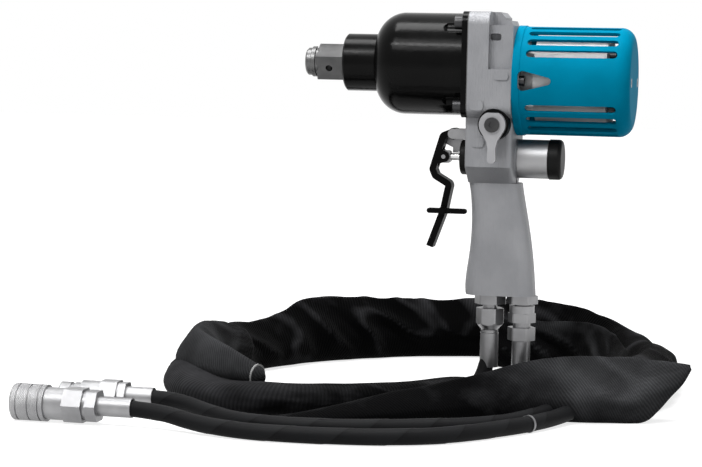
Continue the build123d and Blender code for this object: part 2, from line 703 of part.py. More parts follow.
# Motor guard: a slotted round shell, closed at the rear, with a teardrop window on each side
GUARD_X = HOUSING_LENGTH + CLEAR
with BuildPart() as motor_guard:
    with BuildSketch(head(0, -GEAR_CENTRES / 2)):
        with BuildLine():
            Polyline((GUARD_X, 0), (GUARD_X, GUARD_RIM_R), (GUARD_X + GUARD_RIM, GUARD_RIM_R))
            Line((GUARD_X + GUARD_RIM, GUARD_RIM_R), (GUARD_X + GUARD_RIM + 0.9, GUARD_R))
            Line((GUARD_X + GUARD_RIM + 0.9, GUARD_R), (GUARD_END_X - GUARD_ROUND, GUARD_R))
            RadiusArc((GUARD_END_X - GUARD_ROUND, GUARD_R), (GUARD_END_X, GUARD_R - GUARD_ROUND), GUARD_ROUND)
            Polyline((GUARD_END_X, GUARD_R - GUARD_ROUND), (GUARD_END_X, 0), (GUARD_X, 0))
        make_face()
        with BuildLine():
            inner_end = GUARD_END_X - GUARD_WALL
            inner_r = GUARD_R - GUARD_WALL
            inner_round = GUARD_ROUND - GUARD_WALL
            Polyline((GUARD_X, 0), (GUARD_X, inner_r), (inner_end - inner_round, inner_r))
            RadiusArc((inner_end - inner_round, inner_r), (inner_end, inner_r - inner_round), inner_round)
            Polyline((inner_end, inner_r - inner_round), (inner_end, 0), (GUARD_X, 0))
        make_face(mode=Mode.SUBTRACT)
    revolve(axis=along(-GEAR_CENTRES / 2))
    slot_middle = GUARD_X + SLOT_FROM_FRONT + SLOT_LENGTH / 2
    for turn in range(2):
        for number in range(SLOTS_PER_SIDE):
            angle = 180 * turn + 90 + SLOT_PITCH * (number - (SLOTS_PER_SIDE - 1) / 2)
            outward = (0, math.cos(math.radians(angle)), math.sin(math.radians(angle)))
            slot_plane = Plane(
                origin=(TOOL_X + slot_middle, TOOL_Y, MOTOR_Z), x_dir=(1, 0, 0), z_dir=outward
            ).offset(MOTOR_R)
            with BuildSketch(slot_plane):
                SlotOverall(SLOT_LENGTH, SLOT_WIDTH)
            extrude(amount=GUARD_R, mode=Mode.SUBTRACT)
    with BuildSketch(head(0, -GEAR_CENTRES / 2)):
        with Locations((GUARD_X + WINDOW_FROM_FRONT + WINDOW_CORNER_R, WINDOW_HALF - WINDOW_CORNER_R)):
            Circle(WINDOW_CORNER_R)
        with Locations((GUARD_X + WINDOW_FROM_FRONT + WINDOW_CORNER_R, WINDOW_CORNER_R - WINDOW_HALF)):
            Circle(WINDOW_CORNER_R)
        with Locations((GUARD_X + WINDOW_FROM_FRONT + WINDOW_LENGTH - WINDOW_TIP_R, 0)):
            Circle(WINDOW_TIP_R)
        make_hull()
    extrude(amount=2 * GUARD_R, both=True, mode=Mode.SUBTRACT)
    with BuildSketch(motor(STANDOFF_END_X)):
        with Locations((GUARD_SCREW_OFFSET, 0), (-GUARD_SCREW_OFFSET, 0)):
            Circle(GUARD_SCREW_R + SCREW_CLEAR)
    extrude(amount=GUARD_WALL, mode=Mode.SUBTRACT)
    with BuildSketch(motor(GUARD_END_X)):
        with Locations((GUARD_SCREW_OFFSET, 0), (-GUARD_SCREW_OFFSET, 0)):
            Circle(GUARD_SCREW_HEAD_R + SCREW_CLEAR)
    extrude(amount=-GUARD_SCREW_HEAD, mode=Mode.SUBTRACT)
save(motor_guard.part, "motor_guard")

with BuildPart() as guard_screws:
    for side in (-1, 1):
        seat = across(GUARD_END_X - GUARD_SCREW_HEAD, -GEAR_CENTRES / 2, side * GUARD_SCREW_OFFSET)
        add(
            socket_screw(
                seat, GUARD_SCREW_R, GUARD_SCREW_LENGTH, GUARD_SCREW_HEAD_R, GUARD_SCREW_HEAD, GUARD_SCREW_SOCKET
            )
        )
save(guard_screws.part, "guard_screws")

# Main housing: square front block, round waist for the motor, valve block and handle in one casting
HANDLE_SECTIONS = (
    (-112.0, -3.2, 46.6),
    (-124.0, -1.2, 48.6),
    (-168.0, -0.3, 56.6),
    (-186.0, -2.2, 59.0),
    (-200.0, -4.0, 60.4),
    (HANDLE_BOTTOM, -4.0, 61.9),
)
HANDLE_TOP = HANDLE_SECTIONS[0][0]
HANDLE_CORNER = 14.0
RIDGE_HALF = 20.0

with BuildPart() as main_housing:
    with BuildSketch(across(0)):
        RectangleRounded(FLANGE, FLANGE, FLANGE_CORNER)
    extrude(amount=HOUSING_FRONT)
    with BuildSketch(across(HOUSING_FRONT)):
        RectangleRounded(FLANGE, FLANGE, FLANGE_CORNER)
        with Locations((0, HOUSING_STEP_Z + FLANGE / 2)):
            Rectangle(FLANGE, FLANGE, mode=Mode.SUBTRACT)
        with Locations((0, 0)):
            Rectangle(2 * HOUSING_WAIST, 2 * (GUARD_R - GEAR_CENTRES / 2))
    extrude(amount=HOUSING_LENGTH - HOUSING_FRONT)
    with BuildSketch(head()):
        Polygon(
            (HOUSING_FRONT - 1, 0),
            (HOUSING_FRONT - 1, FLANGE / 2),
            (25.6, FLANGE / 2),
            (30.0, FLANGE / 2 - 5.0),
            (30.0, FLANGE / 2 - 7.5),
            (35.4, FLANGE / 2 - 7.7),
            (37.6, FLANGE / 2 - 12.7),
            (37.6, 0),
            align=None,
        )
    extrude(amount=RIDGE_HALF, both=True)
    with BuildSketch(level(-FLANGE / 2)):
        with Locations(((BLOCK_FRONT + HOUSING_LENGTH) / 2, 0)):
            RectangleRounded(HOUSING_LENGTH - BLOCK_FRONT, 2 * BLOCK_HALF, 5)
    extrude(amount=BLOCK_BOTTOM + FLANGE / 2)
    with BuildSketch(level(BLOCK_BOTTOM)):
        with Locations(((BLOCK_FRONT + HOUSING_LENGTH) / 2, 0)):
            RectangleRounded(HOUSING_LENGTH - BLOCK_FRONT, 2 * BLOCK_HALF, 5)
    with BuildSketch(level(HANDLE_TOP)):
        with Locations(((HANDLE_SECTIONS[0][1] + HOUSING_LENGTH) / 2, 0)):
            RectangleRounded(HOUSING_LENGTH - HANDLE_SECTIONS[0][1], HANDLE_THICKNESS, 8)
    loft()
    for section_z, section_front, section_rear in HANDLE_SECTIONS:
        with BuildSketch(level(section_z)):
            with Locations(((section_front + section_rear) / 2, 0)):
                RectangleRounded(section_rear - section_front, HANDLE_THICKNESS, HANDLE_CORNER)
    loft()
    with BuildSketch(across(BLOCK_FRONT, VALVE_Z)):
        Circle(GLAND_R + 0.7)
    extrude(amount=-BOSS_HEIGHT)
    with BuildSketch(across(HOUSING_LENGTH, VALVE_Z)):
        Circle(VALVE_CYLINDER_R + 0.3)
    extrude(amount=1.5)
    for side in (-1, 1):
        with BuildSketch(head(y=side * FLANGE / 2)):
            with Locations((9.5, -38.0)):
                RectangleRounded(12.5, 9.0, 3)
            with Locations((32.0, -10.2)):
                RectangleRounded(13.5, 7.2, 3)
        extrude(amount=-side * 1.5)
        with BuildSketch(head(y=side * BLOCK_HALF)):
            with Locations((9.0, -72.8)):
                RectangleRounded(12.0, 9.0, 3)
        extrude(amount=-side * 1.5)
        with BuildSketch(head(y=side * HOUSING_WAIST)):
            with Locations((25.0, 26.0)):
                RectangleRounded(10.5, 6.5, 2.5)
        extrude(amount=side * 9, mode=Mode.SUBTRACT)
    with BuildSketch(across(0)):
        Circle(BEARING_R)
    extrude(amount=BEARING_WIDTH, mode=Mode.SUBTRACT)
    with BuildSketch(across(BEARING_WIDTH)):
        Circle(SHAFT_SEAL_R)
    extrude(amount=SHAFT_SEAL_WIDTH, mode=Mode.SUBTRACT)
    with BuildSketch(across(0)):
        Circle(SHAFT_R + 1)
    extrude(amount=HOUSING_LENGTH, mode=Mode.SUBTRACT)
    with BuildSketch(across(0)):
        with GridLocations(2 * CASE_BOLT_OFFSET, 2 * CASE_BOLT_OFFSET, 2, 2):
            Circle(CASE_BOLT_R)
    extrude(amount=CASE_BOLT_LENGTH - FLANGE_THICKNESS - GASKET, mode=Mode.SUBTRACT)
    with BuildSketch(motor(HOUSING_LENGTH)):
        with PolarLocations(MOUNT_SCREW_CIRCLE_R, 4):
            Circle(MOUNT_SCREW_R)
    extrude(amount=-MOUNT_SCREW_DEPTH, mode=Mode.SUBTRACT)
    with BuildSketch(across(BLOCK_FRONT - BOSS_HEIGHT, VALVE_Z)):
        Circle(SPOOL_R + RUN_FIT)
    extrude(amount=HOUSING_LENGTH + 1.5 - BLOCK_FRONT + BOSS_HEIGHT, mode=Mode.SUBTRACT)
    with BuildSketch(head(*REVERSE_PIVOT, y=-BLOCK_HALF)):
        Circle(REVERSE_SPOOL_R + RUN_FIT)
    extrude(amount=-(2 * BLOCK_HALF - 8), mode=Mode.SUBTRACT)
    with BuildSketch(head(*REVERSE_PIVOT, y=-BLOCK_HALF)):
        Circle(REVERSE_PLATE_R + CLEAR)
    extrude(amount=BLOCK_HALF, mode=Mode.SUBTRACT)
    with BuildSketch(level(HANDLE_BOTTOM)):
        with Locations((LEFT_PORT_X, 0), (RIGHT_PORT_X, 0)):
            Circle(PORT_THREAD_R)
    extrude(amount=PORT_DEPTH, mode=Mode.SUBTRACT)
    with BuildSketch(level(HANDLE_BOTTOM, LEFT_PORT_X)):
        Circle(PORT_PASSAGE_R)
    extrude(amount=VALVE_Z - HANDLE_BOTTOM, mode=Mode.SUBTRACT)
    passage_rise = VALVE_Z - HANDLE_BOTTOM
    passage_lean = 16.0
    passage_length = math.hypot(passage_rise, passage_lean)
    leaning = Plane(
        origin=(TOOL_X + RIGHT_PORT_X, TOOL_Y, HEAD_Z + HANDLE_BOTTOM + PORT_DEPTH / 2),
        x_dir=(0, 1, 0),
        z_dir=(-passage_lean / passage_length, 0, passage_rise / passage_length),
    )
    with BuildSketch(leaning):
        Circle(PORT_PASSAGE_R)
    extrude(amount=passage_length - PORT_DEPTH / 2, mode=Mode.SUBTRACT)
save(main_housing.part, "main_housing")

with BuildPart() as shaft_bearing:
    with BuildSketch(across(0)):
        Circle(BEARING_R)
        Circle(SHAFT_R + RUN_FIT, mode=Mode.SUBTRACT)
    extrude(amount=BEARING_WIDTH)
save(shaft_bearing.part, "shaft_bearing")

with BuildPart() as shaft_seal:
    with BuildSketch(across(BEARING_WIDTH)):
        Circle(SHAFT_SEAL_R)
        Circle(SHAFT_R + RUN_FIT, mode=Mode.SUBTRACT)
    extrude(amount=SHAFT_SEAL_WIDTH)
save(shaft_seal.part, "shaft_seal")

# Throttle valve: spool on the trigger's line, its gland in front, spring and cap behind
GLAND_X = BLOCK_FRONT - BOSS_HEIGHT - GLAND_THICKNESS
VALVE_REAR_X = HOUSING_LENGTH + 1.5
with BuildPart() as spool_gland:
    with BuildSketch(across(GLAND_X, VALVE_Z)):
        Circle(GLAND_R)
        Circle(SPOOL_ROD_R + RUN_FIT, mode=Mode.SUBTRACT)
    extrude(amount=GLAND_THICKNESS)
    chamfer(spool_gland.edges().group_by(Axis.X)[0].sort_by(SortBy.LENGTH)[-1], length=1)
save(spool_gland.part, "spool_gland")

SPOOL_FRONT_X = GLAND_X + GLAND_THICKNESS + CLEAR
SPOOL_REAR_X = 36.0
SPOOL_LAND = 10.0
LINK_HALF_WIDTH = 4.2
LINK_HALF_HEIGHT = 6.0
with BuildPart() as spool:
    with BuildSketch(head(0, VALVE_Z)):
        with BuildLine():
            Polyline(
                (LINK_PIN[0] + 4, 0),
                (LINK_PIN[0] + 4, SPOOL_ROD_R),
                (SPOOL_FRONT_X, SPOOL_ROD_R),
                (SPOOL_FRONT_X, SPOOL_R),
                (SPOOL_FRONT_X + SPOOL_LAND, SPOOL_R),
                (SPOOL_FRONT_X + SPOOL_LAND, SPOOL_R - 2.5),
                (SPOOL_REAR_X - SPOOL_LAND, SPOOL_R - 2.5),
                (SPOOL_REAR_X - SPOOL_LAND, SPOOL_R),
                (SPOOL_REAR_X, SPOOL_R),
                (SPOOL_REAR_X, 0),
                close=True,
            )
        make_face()
    revolve(axis=along(VALVE_Z))
save(spool.part, "spool")

with BuildPart() as spool_link:
    with BuildSketch(head(*LINK_PIN)):
        with Locations((1.0, 0)):
            RectangleRounded(10.6, 2 * LINK_HALF_HEIGHT, 2.5)
        with Locations((0, -0.8)):
            SlotCenterToCenter(1.6, 2 * (LINK_PIN_R + CLEAR), rotation=90, mode=Mode.SUBTRACT)
    extrude(amount=LINK_HALF_WIDTH, both=True)
    with BuildSketch(across(LINK_PIN[0] + 4, VALVE_Z)):
        Circle(SPOOL_ROD_R)
    extrude(amount=5, mode=Mode.SUBTRACT)
save(spool_link.part, "spool_link")

SPRING_CAVITY_END = VALVE_REAR_X + VALVE_CYLINDER_LENGTH - 3
with BuildPart() as valve_cylinder:
    with BuildSketch(across(VALVE_REAR_X, VALVE_Z)):
        Circle(VALVE_CYLINDER_R)
    extrude(amount=VALVE_CYLINDER_LENGTH)
    chamfer(valve_cylinder.edges(), length=0.6)
    with BuildSketch(across(VALVE_REAR_X, VALVE_Z)):
        Circle(SPRING_R + SPRING_WIRE_R + 1)
    extrude(amount=VALVE_CYLINDER_LENGTH - 3, mode=Mode.SUBTRACT)
save(valve_cylinder.part, "valve_cylinder")

with BuildPart() as valve_cap:
    with BuildSketch(across(VALVE_REAR_X + VALVE_CYLINDER_LENGTH, VALVE_Z)):
        Circle(VALVE_CAP_R)
    extrude(amount=VALVE_CAP_LENGTH)
    fillet(valve_cap.edges().group_by(Axis.X)[-1], radius=4)
save(valve_cap.part, "valve_cap")

spring_length = SPRING_CAVITY_END - SPOOL_REAR_X - 2 * SPRING_WIRE_R - 2 * SCREW_CLEAR
spring_start = SPOOL_REAR_X + SPRING_WIRE_R + SCREW_CLEAR
with BuildPart() as spool_spring:
    with BuildLine():
        coil = Helix(
            spring_length / SPRING_TURNS,
            spring_length,
            SPRING_R - SPRING_WIRE_R,
            center=(TOOL_X + spring_start, TOOL_Y, HEAD_Z + VALVE_Z),
            direction=(1, 0, 0),
        )
    with BuildSketch(Plane(coil @ 0, z_dir=coil % 0)):
        RegularPolygon(SPRING_WIRE_R, 6)
    sweep(path=coil, is_frenet=True)
save(spool_spring.part, "spool_spring")

# Trigger bracket: two ears in front of the valve block, the far one larger
BRACKET_BACK = BLOCK_FRONT
FAR_EAR = ((-8, -70), (-28, -70), (-30, -76.5), (-22.5, -80), (-22.5, -85), (-13.5, -85), (-13, -72))
EAR_INNER = TRIGGER_WIDTH / 2 + 0.4
with BuildPart() as trigger_bracket:
    with BuildSketch(head(BRACKET_BACK, TRIGGER_PIVOT[1])):
        Polygon((0, 5.6), (-3, 5.6), (-3, -4.6), (0, -4.6), align=None)
    extrude(amount=EAR_INNER + CLEVIS_EAR, both=True)
    for side in (-1, 1):
        with BuildSketch(head(y=side * EAR_INNER)):
            with Locations(TRIGGER_PIVOT):
                Circle(CLEVIS_HALF_HEIGHT)
            with Locations((BRACKET_BACK - 3, TRIGGER_PIVOT[1])):
                Rectangle(4, 2 * CLEVIS_HALF_HEIGHT)
            make_hull()
        extrude(amount=-side * CLEVIS_EAR)
    with BuildSketch(head(y=EAR_INNER)):
        Polygon(*FAR_EAR, align=None)
    extrude(amount=-CLEVIS_EAR)
    with BuildSketch(head(*TRIGGER_PIVOT)):
        Circle(TRIGGER_PIN_R)
    extrude(amount=2 * TRIGGER_WIDTH, both=True, mode=Mode.SUBTRACT)
save(trigger_bracket.part, "trigger_bracket")

with BuildPart() as trigger_pin:
    with BuildSketch(head(*TRIGGER_PIVOT)):
        Circle(TRIGGER_PIN_R)
    extrude(amount=EAR_INNER + CLEVIS_EAR, both=True)
save(trigger_pin.part, "trigger_pin")

# Trigger: one bent strip with its hub, and a fork that holds the link pin
TRIGGER_PATH = (
    (-20.1, -64.5),
    (-29.7, -68.3),
    (-39.2, -100.8),
    (-36.4, -107.2),
    (-22.9, -115.0),
    (-24.8, -124.0),
    (-27.8, -139.5),
    (-40.7, -175.3),
)
with BuildPart() as trigger_lever:
    with BuildSketch(head()):
        with BuildLine() as trigger_line:
            FilletPolyline(*TRIGGER_PATH, radius=3.4)
        trace(line_width=TRIGGER_THICKNESS)
        with Locations(TRIGGER_PIVOT):
            Circle(TRIGGER_HUB_R)
            Circle(TRIGGER_PIN_R + RUN_FIT, mode=Mode.SUBTRACT)
    extrude(amount=TRIGGER_WIDTH / 2, both=True)
    with BuildSketch(head(0, LINK_PIN[1])):
        with Locations((LINK_PIN[0] - 6, 0.2)):
            Rectangle(40, 19)
    extrude(amount=LINK_HALF_WIDTH + CLEAR, both=True, mode=Mode.SUBTRACT)
    for side in (-1, 1):
        with BuildSketch(head(y=side * TRIGGER_WIDTH / 2)):
            with Locations(LINK_PIN):
                Circle(5.4)
            with Locations((-33.4, -82.0), (-37.2, -95.0)):
                Circle(1.5)
            make_hull()
            with Locations(LINK_PIN):
                Circle(LINK_PIN_R, mode=Mode.SUBTRACT)
        extrude(amount=side * (TRIGGER_WIDTH / 2 - LINK_HALF_WIDTH - CLEAR))
    with BuildSketch(head(*LINK_PIN)):
        Circle(LINK_PIN_R)
    extrude(amount=TRIGGER_WIDTH, both=True, mode=Mode.SUBTRACT)
    with BuildSketch(head(*CATCH_PIVOT)):
        Circle(CATCH_PIN_R)
    extrude(amount=TRIGGER_WIDTH, both=True, mode=Mode.SUBTRACT)
save(trigger_lever.part, "trigger_lever")

with BuildPart() as link_pin:
    with BuildSketch(head(*LINK_PIN)):
        Circle(LINK_PIN_R)
    extrude(amount=TRIGGER_WIDTH / 2, both=True)
save(link_pin.part, "link_pin")

# Trigger catch: a cross bar on the trigger that stands against the handle until it is tipped
CATCH_INNER = TRIGGER_WIDTH / 2 + 0.4
with BuildPart() as trigger_catch:
    with BuildSketch(head(*CATCH_PIVOT, y=-CATCH_INNER)):
        with Locations(((CATCH_REAR - CATCH_FRONT) / 2, 0)):
            SlotOverall(CATCH_REAR + CATCH_FRONT, CATCH_HEIGHT)
        Circle(CATCH_HEIGHT / 2 + 1.4)
        Circle(CATCH_PIN_R + RUN_FIT, mode=Mode.SUBTRACT)
    extrude(amount=CATCH_WIDTH)
save(trigger_catch.part, "trigger_catch")

with BuildPart() as catch_pin:
    with BuildSketch(head(*CATCH_PIVOT, y=TRIGGER_WIDTH / 2)):
        Circle(CATCH_PIN_R)
    extrude(amount=TRIGGER_WIDTH / 2 + CATCH_INNER + CATCH_WIDTH + CLEAR)
    with BuildSketch(head(*CATCH_PIVOT, y=-CATCH_INNER - CATCH_WIDTH - CLEAR)):
        Circle(CATCH_PIN_R + 1.2)
    extrude(amount=1.2)
save(catch_pin.part, "catch_pin")

# Reversing valve: rotary spool across the valve block, its black end plate, lever and screw
with BuildPart() as reversing_spool:
    with BuildSketch(head(*REVERSE_PIVOT, y=-BLOCK_HALF + 1)):
        Circle(REVERSE_SPOOL_R)
    extrude(amount=-(2 * BLOCK_HALF - 10))
    with BuildSketch(head(*REVERSE_PIVOT, y=-BLOCK_HALF + 1)):
        Circle(REVERSE_STEM_R)
    extrude(amount=-REVERSE_PLATE_Y - BLOCK_HALF + 1 + CLEAR + REVERSE_RING)
    with BuildSketch(head(*REVERSE_PIVOT)):
        Circle(REVERSE_SCREW_R)
    extrude(amount=2 * BLOCK_HALF, mode=Mode.SUBTRACT)
save(reversing_spool.part, "reversing_spool")

with BuildPart() as reversing_plate:
    with BuildSketch(head(*REVERSE_PIVOT, y=-BLOCK_HALF)):
        Circle(REVERSE_PLATE_R)
        Circle(REVERSE_STEM_R + RUN_FIT, mode=Mode.SUBTRACT)
    extrude(amount=-REVERSE_PLATE_Y - BLOCK_HALF)
    with BuildSketch(across(0, -CASE_BOLT_OFFSET, -CASE_BOLT_OFFSET)):
        Circle(CASE_BOLT_R + CLEAR)
    extrude(amount=CASE_BOLT_LENGTH, mode=Mode.SUBTRACT)
save(reversing_plate.part, "reversing_plate")

LEVER_Y = REVERSE_PLATE_Y - CLEAR
with BuildPart() as reversing_lever:
    with BuildSketch(head(*REVERSE_PIVOT, y=LEVER_Y)):
        Circle(REVERSE_RING_R)
        with Locations((0, REVERSE_RING_R)):
            Rectangle(2 * REVERSE_RING_R, 2.4, mode=Mode.SUBTRACT)
        Polygon(
            (-11.0, -5.7),
            (-5.2, -15.0),
            (-3.6, -22.0),
            (-REVERSE_TIP_R, REVERSE_TIP_R - REVERSE_ARM),
            (REVERSE_TIP_R, REVERSE_TIP_R - REVERSE_ARM),
            (3.6, -22.0),
            (5.2, -15.0),
            (11.0, -5.7),
            align=None,
        )
        with Locations((0, REVERSE_TIP_R - REVERSE_ARM)):
            Circle(REVERSE_TIP_R)
        Circle(REVERSE_STEM_R, mode=Mode.SUBTRACT)
    extrude(amount=REVERSE_RING)
save(reversing_lever.part, "reversing_lever")

with BuildPart() as reversing_screw:
    lever_face = Plane(
        origin=(TOOL_X + REVERSE_PIVOT[0], TOOL_Y + LEVER_Y - REVERSE_RING, HEAD_Z + REVERSE_PIVOT[1]),
        x_dir=(1, 0, 0),
        z_dir=(0, -1, 0),
    )
    add(socket_screw(lever_face, REVERSE_SCREW_R, 18, REVERSE_SCREW_HEAD_R, REVERSE_SCREW_HEAD, 5))
save(reversing_screw.part, "reversing_screw")


def nut(plane, flats, length, bore_r):
    """Hexagon of a width across flats, bored through, with its outer corners broken."""
    with BuildPart() as piece:
        with BuildSketch(plane):
            RegularPolygon(flats / 2, 6, major_radius=False)
        extrude(amount=length)
        with BuildSketch(plane):
            Circle(flats / math.sqrt(3) - 0.5)
        extrude(amount=length, mode=Mode.INTERSECT)
        with BuildSketch(plane):
            Circle(bore_r)
        extrude(amount=length, mode=Mode.SUBTRACT)
    return piece.part


def turned(plane, *steps):
    """Round steps on one line: each is where it starts, where it ends, its radius and its bore."""
    with BuildPart() as piece:
        for start, end, outer_r, bore_r in steps:
            with BuildSketch(plane.offset(start)):
                Circle(outer_r)
                if bore_r:
                    Circle(bore_r, mode=Mode.SUBTRACT)
            extrude(amount=end - start)
    return piece.part


def hanging(z, x):
    """Plane facing down under the handle, for the fittings that stack below it."""
    return Plane(origin=(TOOL_X + x, TOOL_Y, HEAD_Z + z), x_dir=(1, 0, 0), z_dir=(0, 0, -1))


# Left fitting: adapter in its port, swivel nut, tail with tapered shoulder, ferrule
left_neck_length = HANDLE_BOTTOM - LEFT_NUT_Z + LEFT_NUT_LENGTH
with BuildPart() as left_adapter:
    add(nut(hanging(HANDLE_BOTTOM, LEFT_PORT_X), ADAPTER_HEX, LEFT_ADAPTER_HEX_LENGTH, FITTING_BORE_R))
    add(
        turned(
            hanging(HANDLE_BOTTOM, LEFT_PORT_X),
            (2 - PORT_DEPTH, 0, PORT_THREAD_R - SCREW_CLEAR, FITTING_BORE_R),
            (LEFT_ADAPTER_HEX_LENGTH, left_neck_length, NECK_R, FITTING_BORE_R),
        )
    )
save(left_adapter.part, "left_adapter")

with BuildPart() as left_swivel_nut:
    add(nut(hanging(LEFT_NUT_Z, LEFT_PORT_X), NUT_HEX, LEFT_NUT_LENGTH, NECK_R + SCREW_CLEAR))
save(left_swivel_nut.part, "left_swivel_nut")

left_shoulder_z = LEFT_NUT_Z - LEFT_NUT_LENGTH
with BuildPart() as left_hose_tail:
    add(nut(hanging(left_shoulder_z, LEFT_PORT_X), NUT_HEX, LEFT_SHOULDER_LENGTH, FITTING_BORE_R))
    with BuildSketch(head()):
        with BuildLine():
            Polyline(
                (LEFT_PORT_X, left_shoulder_z),
                (LEFT_PORT_X + NUT_HEX / 2 + 3, left_shoulder_z),
                (LEFT_PORT_X + NUT_HEX / 2 + 2, left_shoulder_z - 2),
                (LEFT_PORT_X + FERRULE_R - 1.0, left_shoulder_z - LEFT_SHOULDER_LENGTH),
                (LEFT_PORT_X, left_shoulder_z - LEFT_SHOULDER_LENGTH),
                close=True,
            )
        make_face()
    revolve(axis=Axis((TOOL_X + LEFT_PORT_X, TOOL_Y, 0), (0, 0, 1)), mode=Mode.INTERSECT)
    add(
        turned(
            hanging(left_shoulder_z, LEFT_PORT_X),
            (LEFT_SHOULDER_LENGTH, left_shoulder_z - LEFT_FERRULE_Z + FERRULE_CAP, NECK_R, FITTING_BORE_R),
            (LEFT_SHOULDER_LENGTH + 0.8, left_shoulder_z - LEFT_FERRULE_Z - 0.5, FERRULE_R - 0.6, NECK_R - 1),
        )
    )
save(left_hose_tail.part, "left_hose_tail")

with BuildPart() as left_ferrule:
    add(
        turned(
            hanging(LEFT_FERRULE_Z, LEFT_PORT_X),
            (0, FERRULE_CAP, FERRULE_R, NECK_R + RUN_FIT),
            (FERRULE_CAP, LEFT_FERRULE_LENGTH, FERRULE_R, HOSE_R + RUN_FIT),
        )
    )
save(left_ferrule.part, "left_ferrule")

# Right fitting: adapter, union nut with its round collar, tail with its hexagon, ferrule
right_neck_length = HANDLE_BOTTOM - RIGHT_COLLAR_Z + RIGHT_COLLAR_LENGTH + RIGHT_NUT_LENGTH
with BuildPart() as right_adapter:
    add(nut(hanging(HANDLE_BOTTOM, RIGHT_PORT_X), ADAPTER_HEX, RIGHT_ADAPTER_HEX_LENGTH, FITTING_BORE_R))
    add(
        turned(
            hanging(HANDLE_BOTTOM, RIGHT_PORT_X),
            (2 - PORT_DEPTH, 0, PORT_THREAD_R - SCREW_CLEAR, FITTING_BORE_R),
            (RIGHT_ADAPTER_HEX_LENGTH, right_neck_length, NECK_R, FITTING_BORE_R),
        )
    )
save(right_adapter.part, "right_adapter")

with BuildPart() as right_union_nut:
    add(
        turned(
            hanging(RIGHT_COLLAR_Z, RIGHT_PORT_X),
            (0, RIGHT_COLLAR_LENGTH, COLLAR_R, NECK_R + SCREW_CLEAR),
        )
    )
    add(
        nut(
            hanging(RIGHT_COLLAR_Z - RIGHT_COLLAR_LENGTH, RIGHT_PORT_X),
            NUT_HEX,
            RIGHT_NUT_LENGTH,
            NECK_R + SCREW_CLEAR,
        )
    )
save(right_union_nut.part, "right_union_nut")

right_tail_z = RIGHT_COLLAR_Z - RIGHT_COLLAR_LENGTH - RIGHT_NUT_LENGTH
with BuildPart() as right_hose_tail:
    add(nut(hanging(RIGHT_SHOULDER_Z, RIGHT_PORT_X), NUT_HEX, RIGHT_SHOULDER_LENGTH, FITTING_BORE_R))
    add(
        turned(
            hanging(right_tail_z, RIGHT_PORT_X),
            (0, right_tail_z - RIGHT_SHOULDER_Z, NECK_R + 1.5, FITTING_BORE_R),
            (
                right_tail_z - RIGHT_SHOULDER_Z + RIGHT_SHOULDER_LENGTH,
                right_tail_z - RIGHT_FERRULE_Z + FERRULE_CAP,
                NECK_R,
                FITTING_BORE_R,
            ),
        )
    )
save(right_hose_tail.part, "right_hose_tail")

with BuildPart() as right_ferrule:
    add(
        turned(
            hanging(RIGHT_FERRULE_Z, RIGHT_PORT_X),
            (0, FERRULE_CAP, FERRULE_R, NECK_R + RUN_FIT),
            (FERRULE_CAP, RIGHT_FERRULE_LENGTH, FERRULE_R, HOSE_R + RUN_FIT),
        )
    )
save(right_ferrule.part, "right_ferrule")

# Hoses: routes in the tool's own X and Y and in heights above the floor
pressure_route = (
    (19, 0, 68),
    (19, 0, 11),
    (-39, -47, 14),
    (-99, -92, 14),
    (-163, -123, 14),
    (-228, -113, 14),
    (-272, -67, 15),
    (-284, -1, 18),
    (-283, 91, 20),
    (-265, 163, 21),
    (-226, 230, 22),
    (-169, 287, 22),
    (-97, 333, 21),
    (-15, 353, 21),
    (59, 345, 21),
    (117, 301, 20),
    (149, 243, 19),
    (166, 171, 18),
    (164, 99, 18),
    (144, 28, 15),
    (126, -27, 14),
    (98, -100, 8),
    (73, -148, 7.5),
    (40, -194, 7.5),
    (14, -222, 7.5),
    (-25, -243, 7.5),
    (-78, -256, 7.5),
    (-146, -259, 7.5),
    (-198, -244, 9),
    (-244, FEMALE_Y, COUPLER_AXIS_Z),
    (FEMALE_TIP_X + FEMALE_HOSE_END, FEMALE_Y, COUPLER_AXIS_Z),
)
return_route = (
    (50, 0, 61.5),
    (50, 0, 9),
    (-5, 14, 11),
    (-49, -33, 14),
    (-109, -78, 14),
    (-165, -107, 14),
    (-219, -99, 14),
    (-256, -59, 15),
    (-268, 1, 18),
    (-267, 89, 20),
    (-249, 157, 21),
    (-212, 220, 22),
    (-159, 273, 22),
    (-91, 317, 21),
    (-13, 337, 21),
    (53, 329, 21),
    (105, 289, 20),
    (133, 237, 19),
    (150, 169, 18),
    (148, 101, 18),
    (128, 32, 15),
    (110, -21, 14),
    (84, -86, 9),
    (60, -132, 7.5),
    (36, -158, 7.5),
    (4, -176, 7.5),
    (-38, -196, 7.5),
    (-80, -210, 7.5),
    (-122, -215, 7.5),
    (-165, -210, 7.5),
    (-204, -185, 9),
    (-244, MALE_Y, COUPLER_AXIS_Z),
    (MALE_TIP_X + MALE_HOSE_END, MALE_Y, COUPLER_AXIS_Z),
)


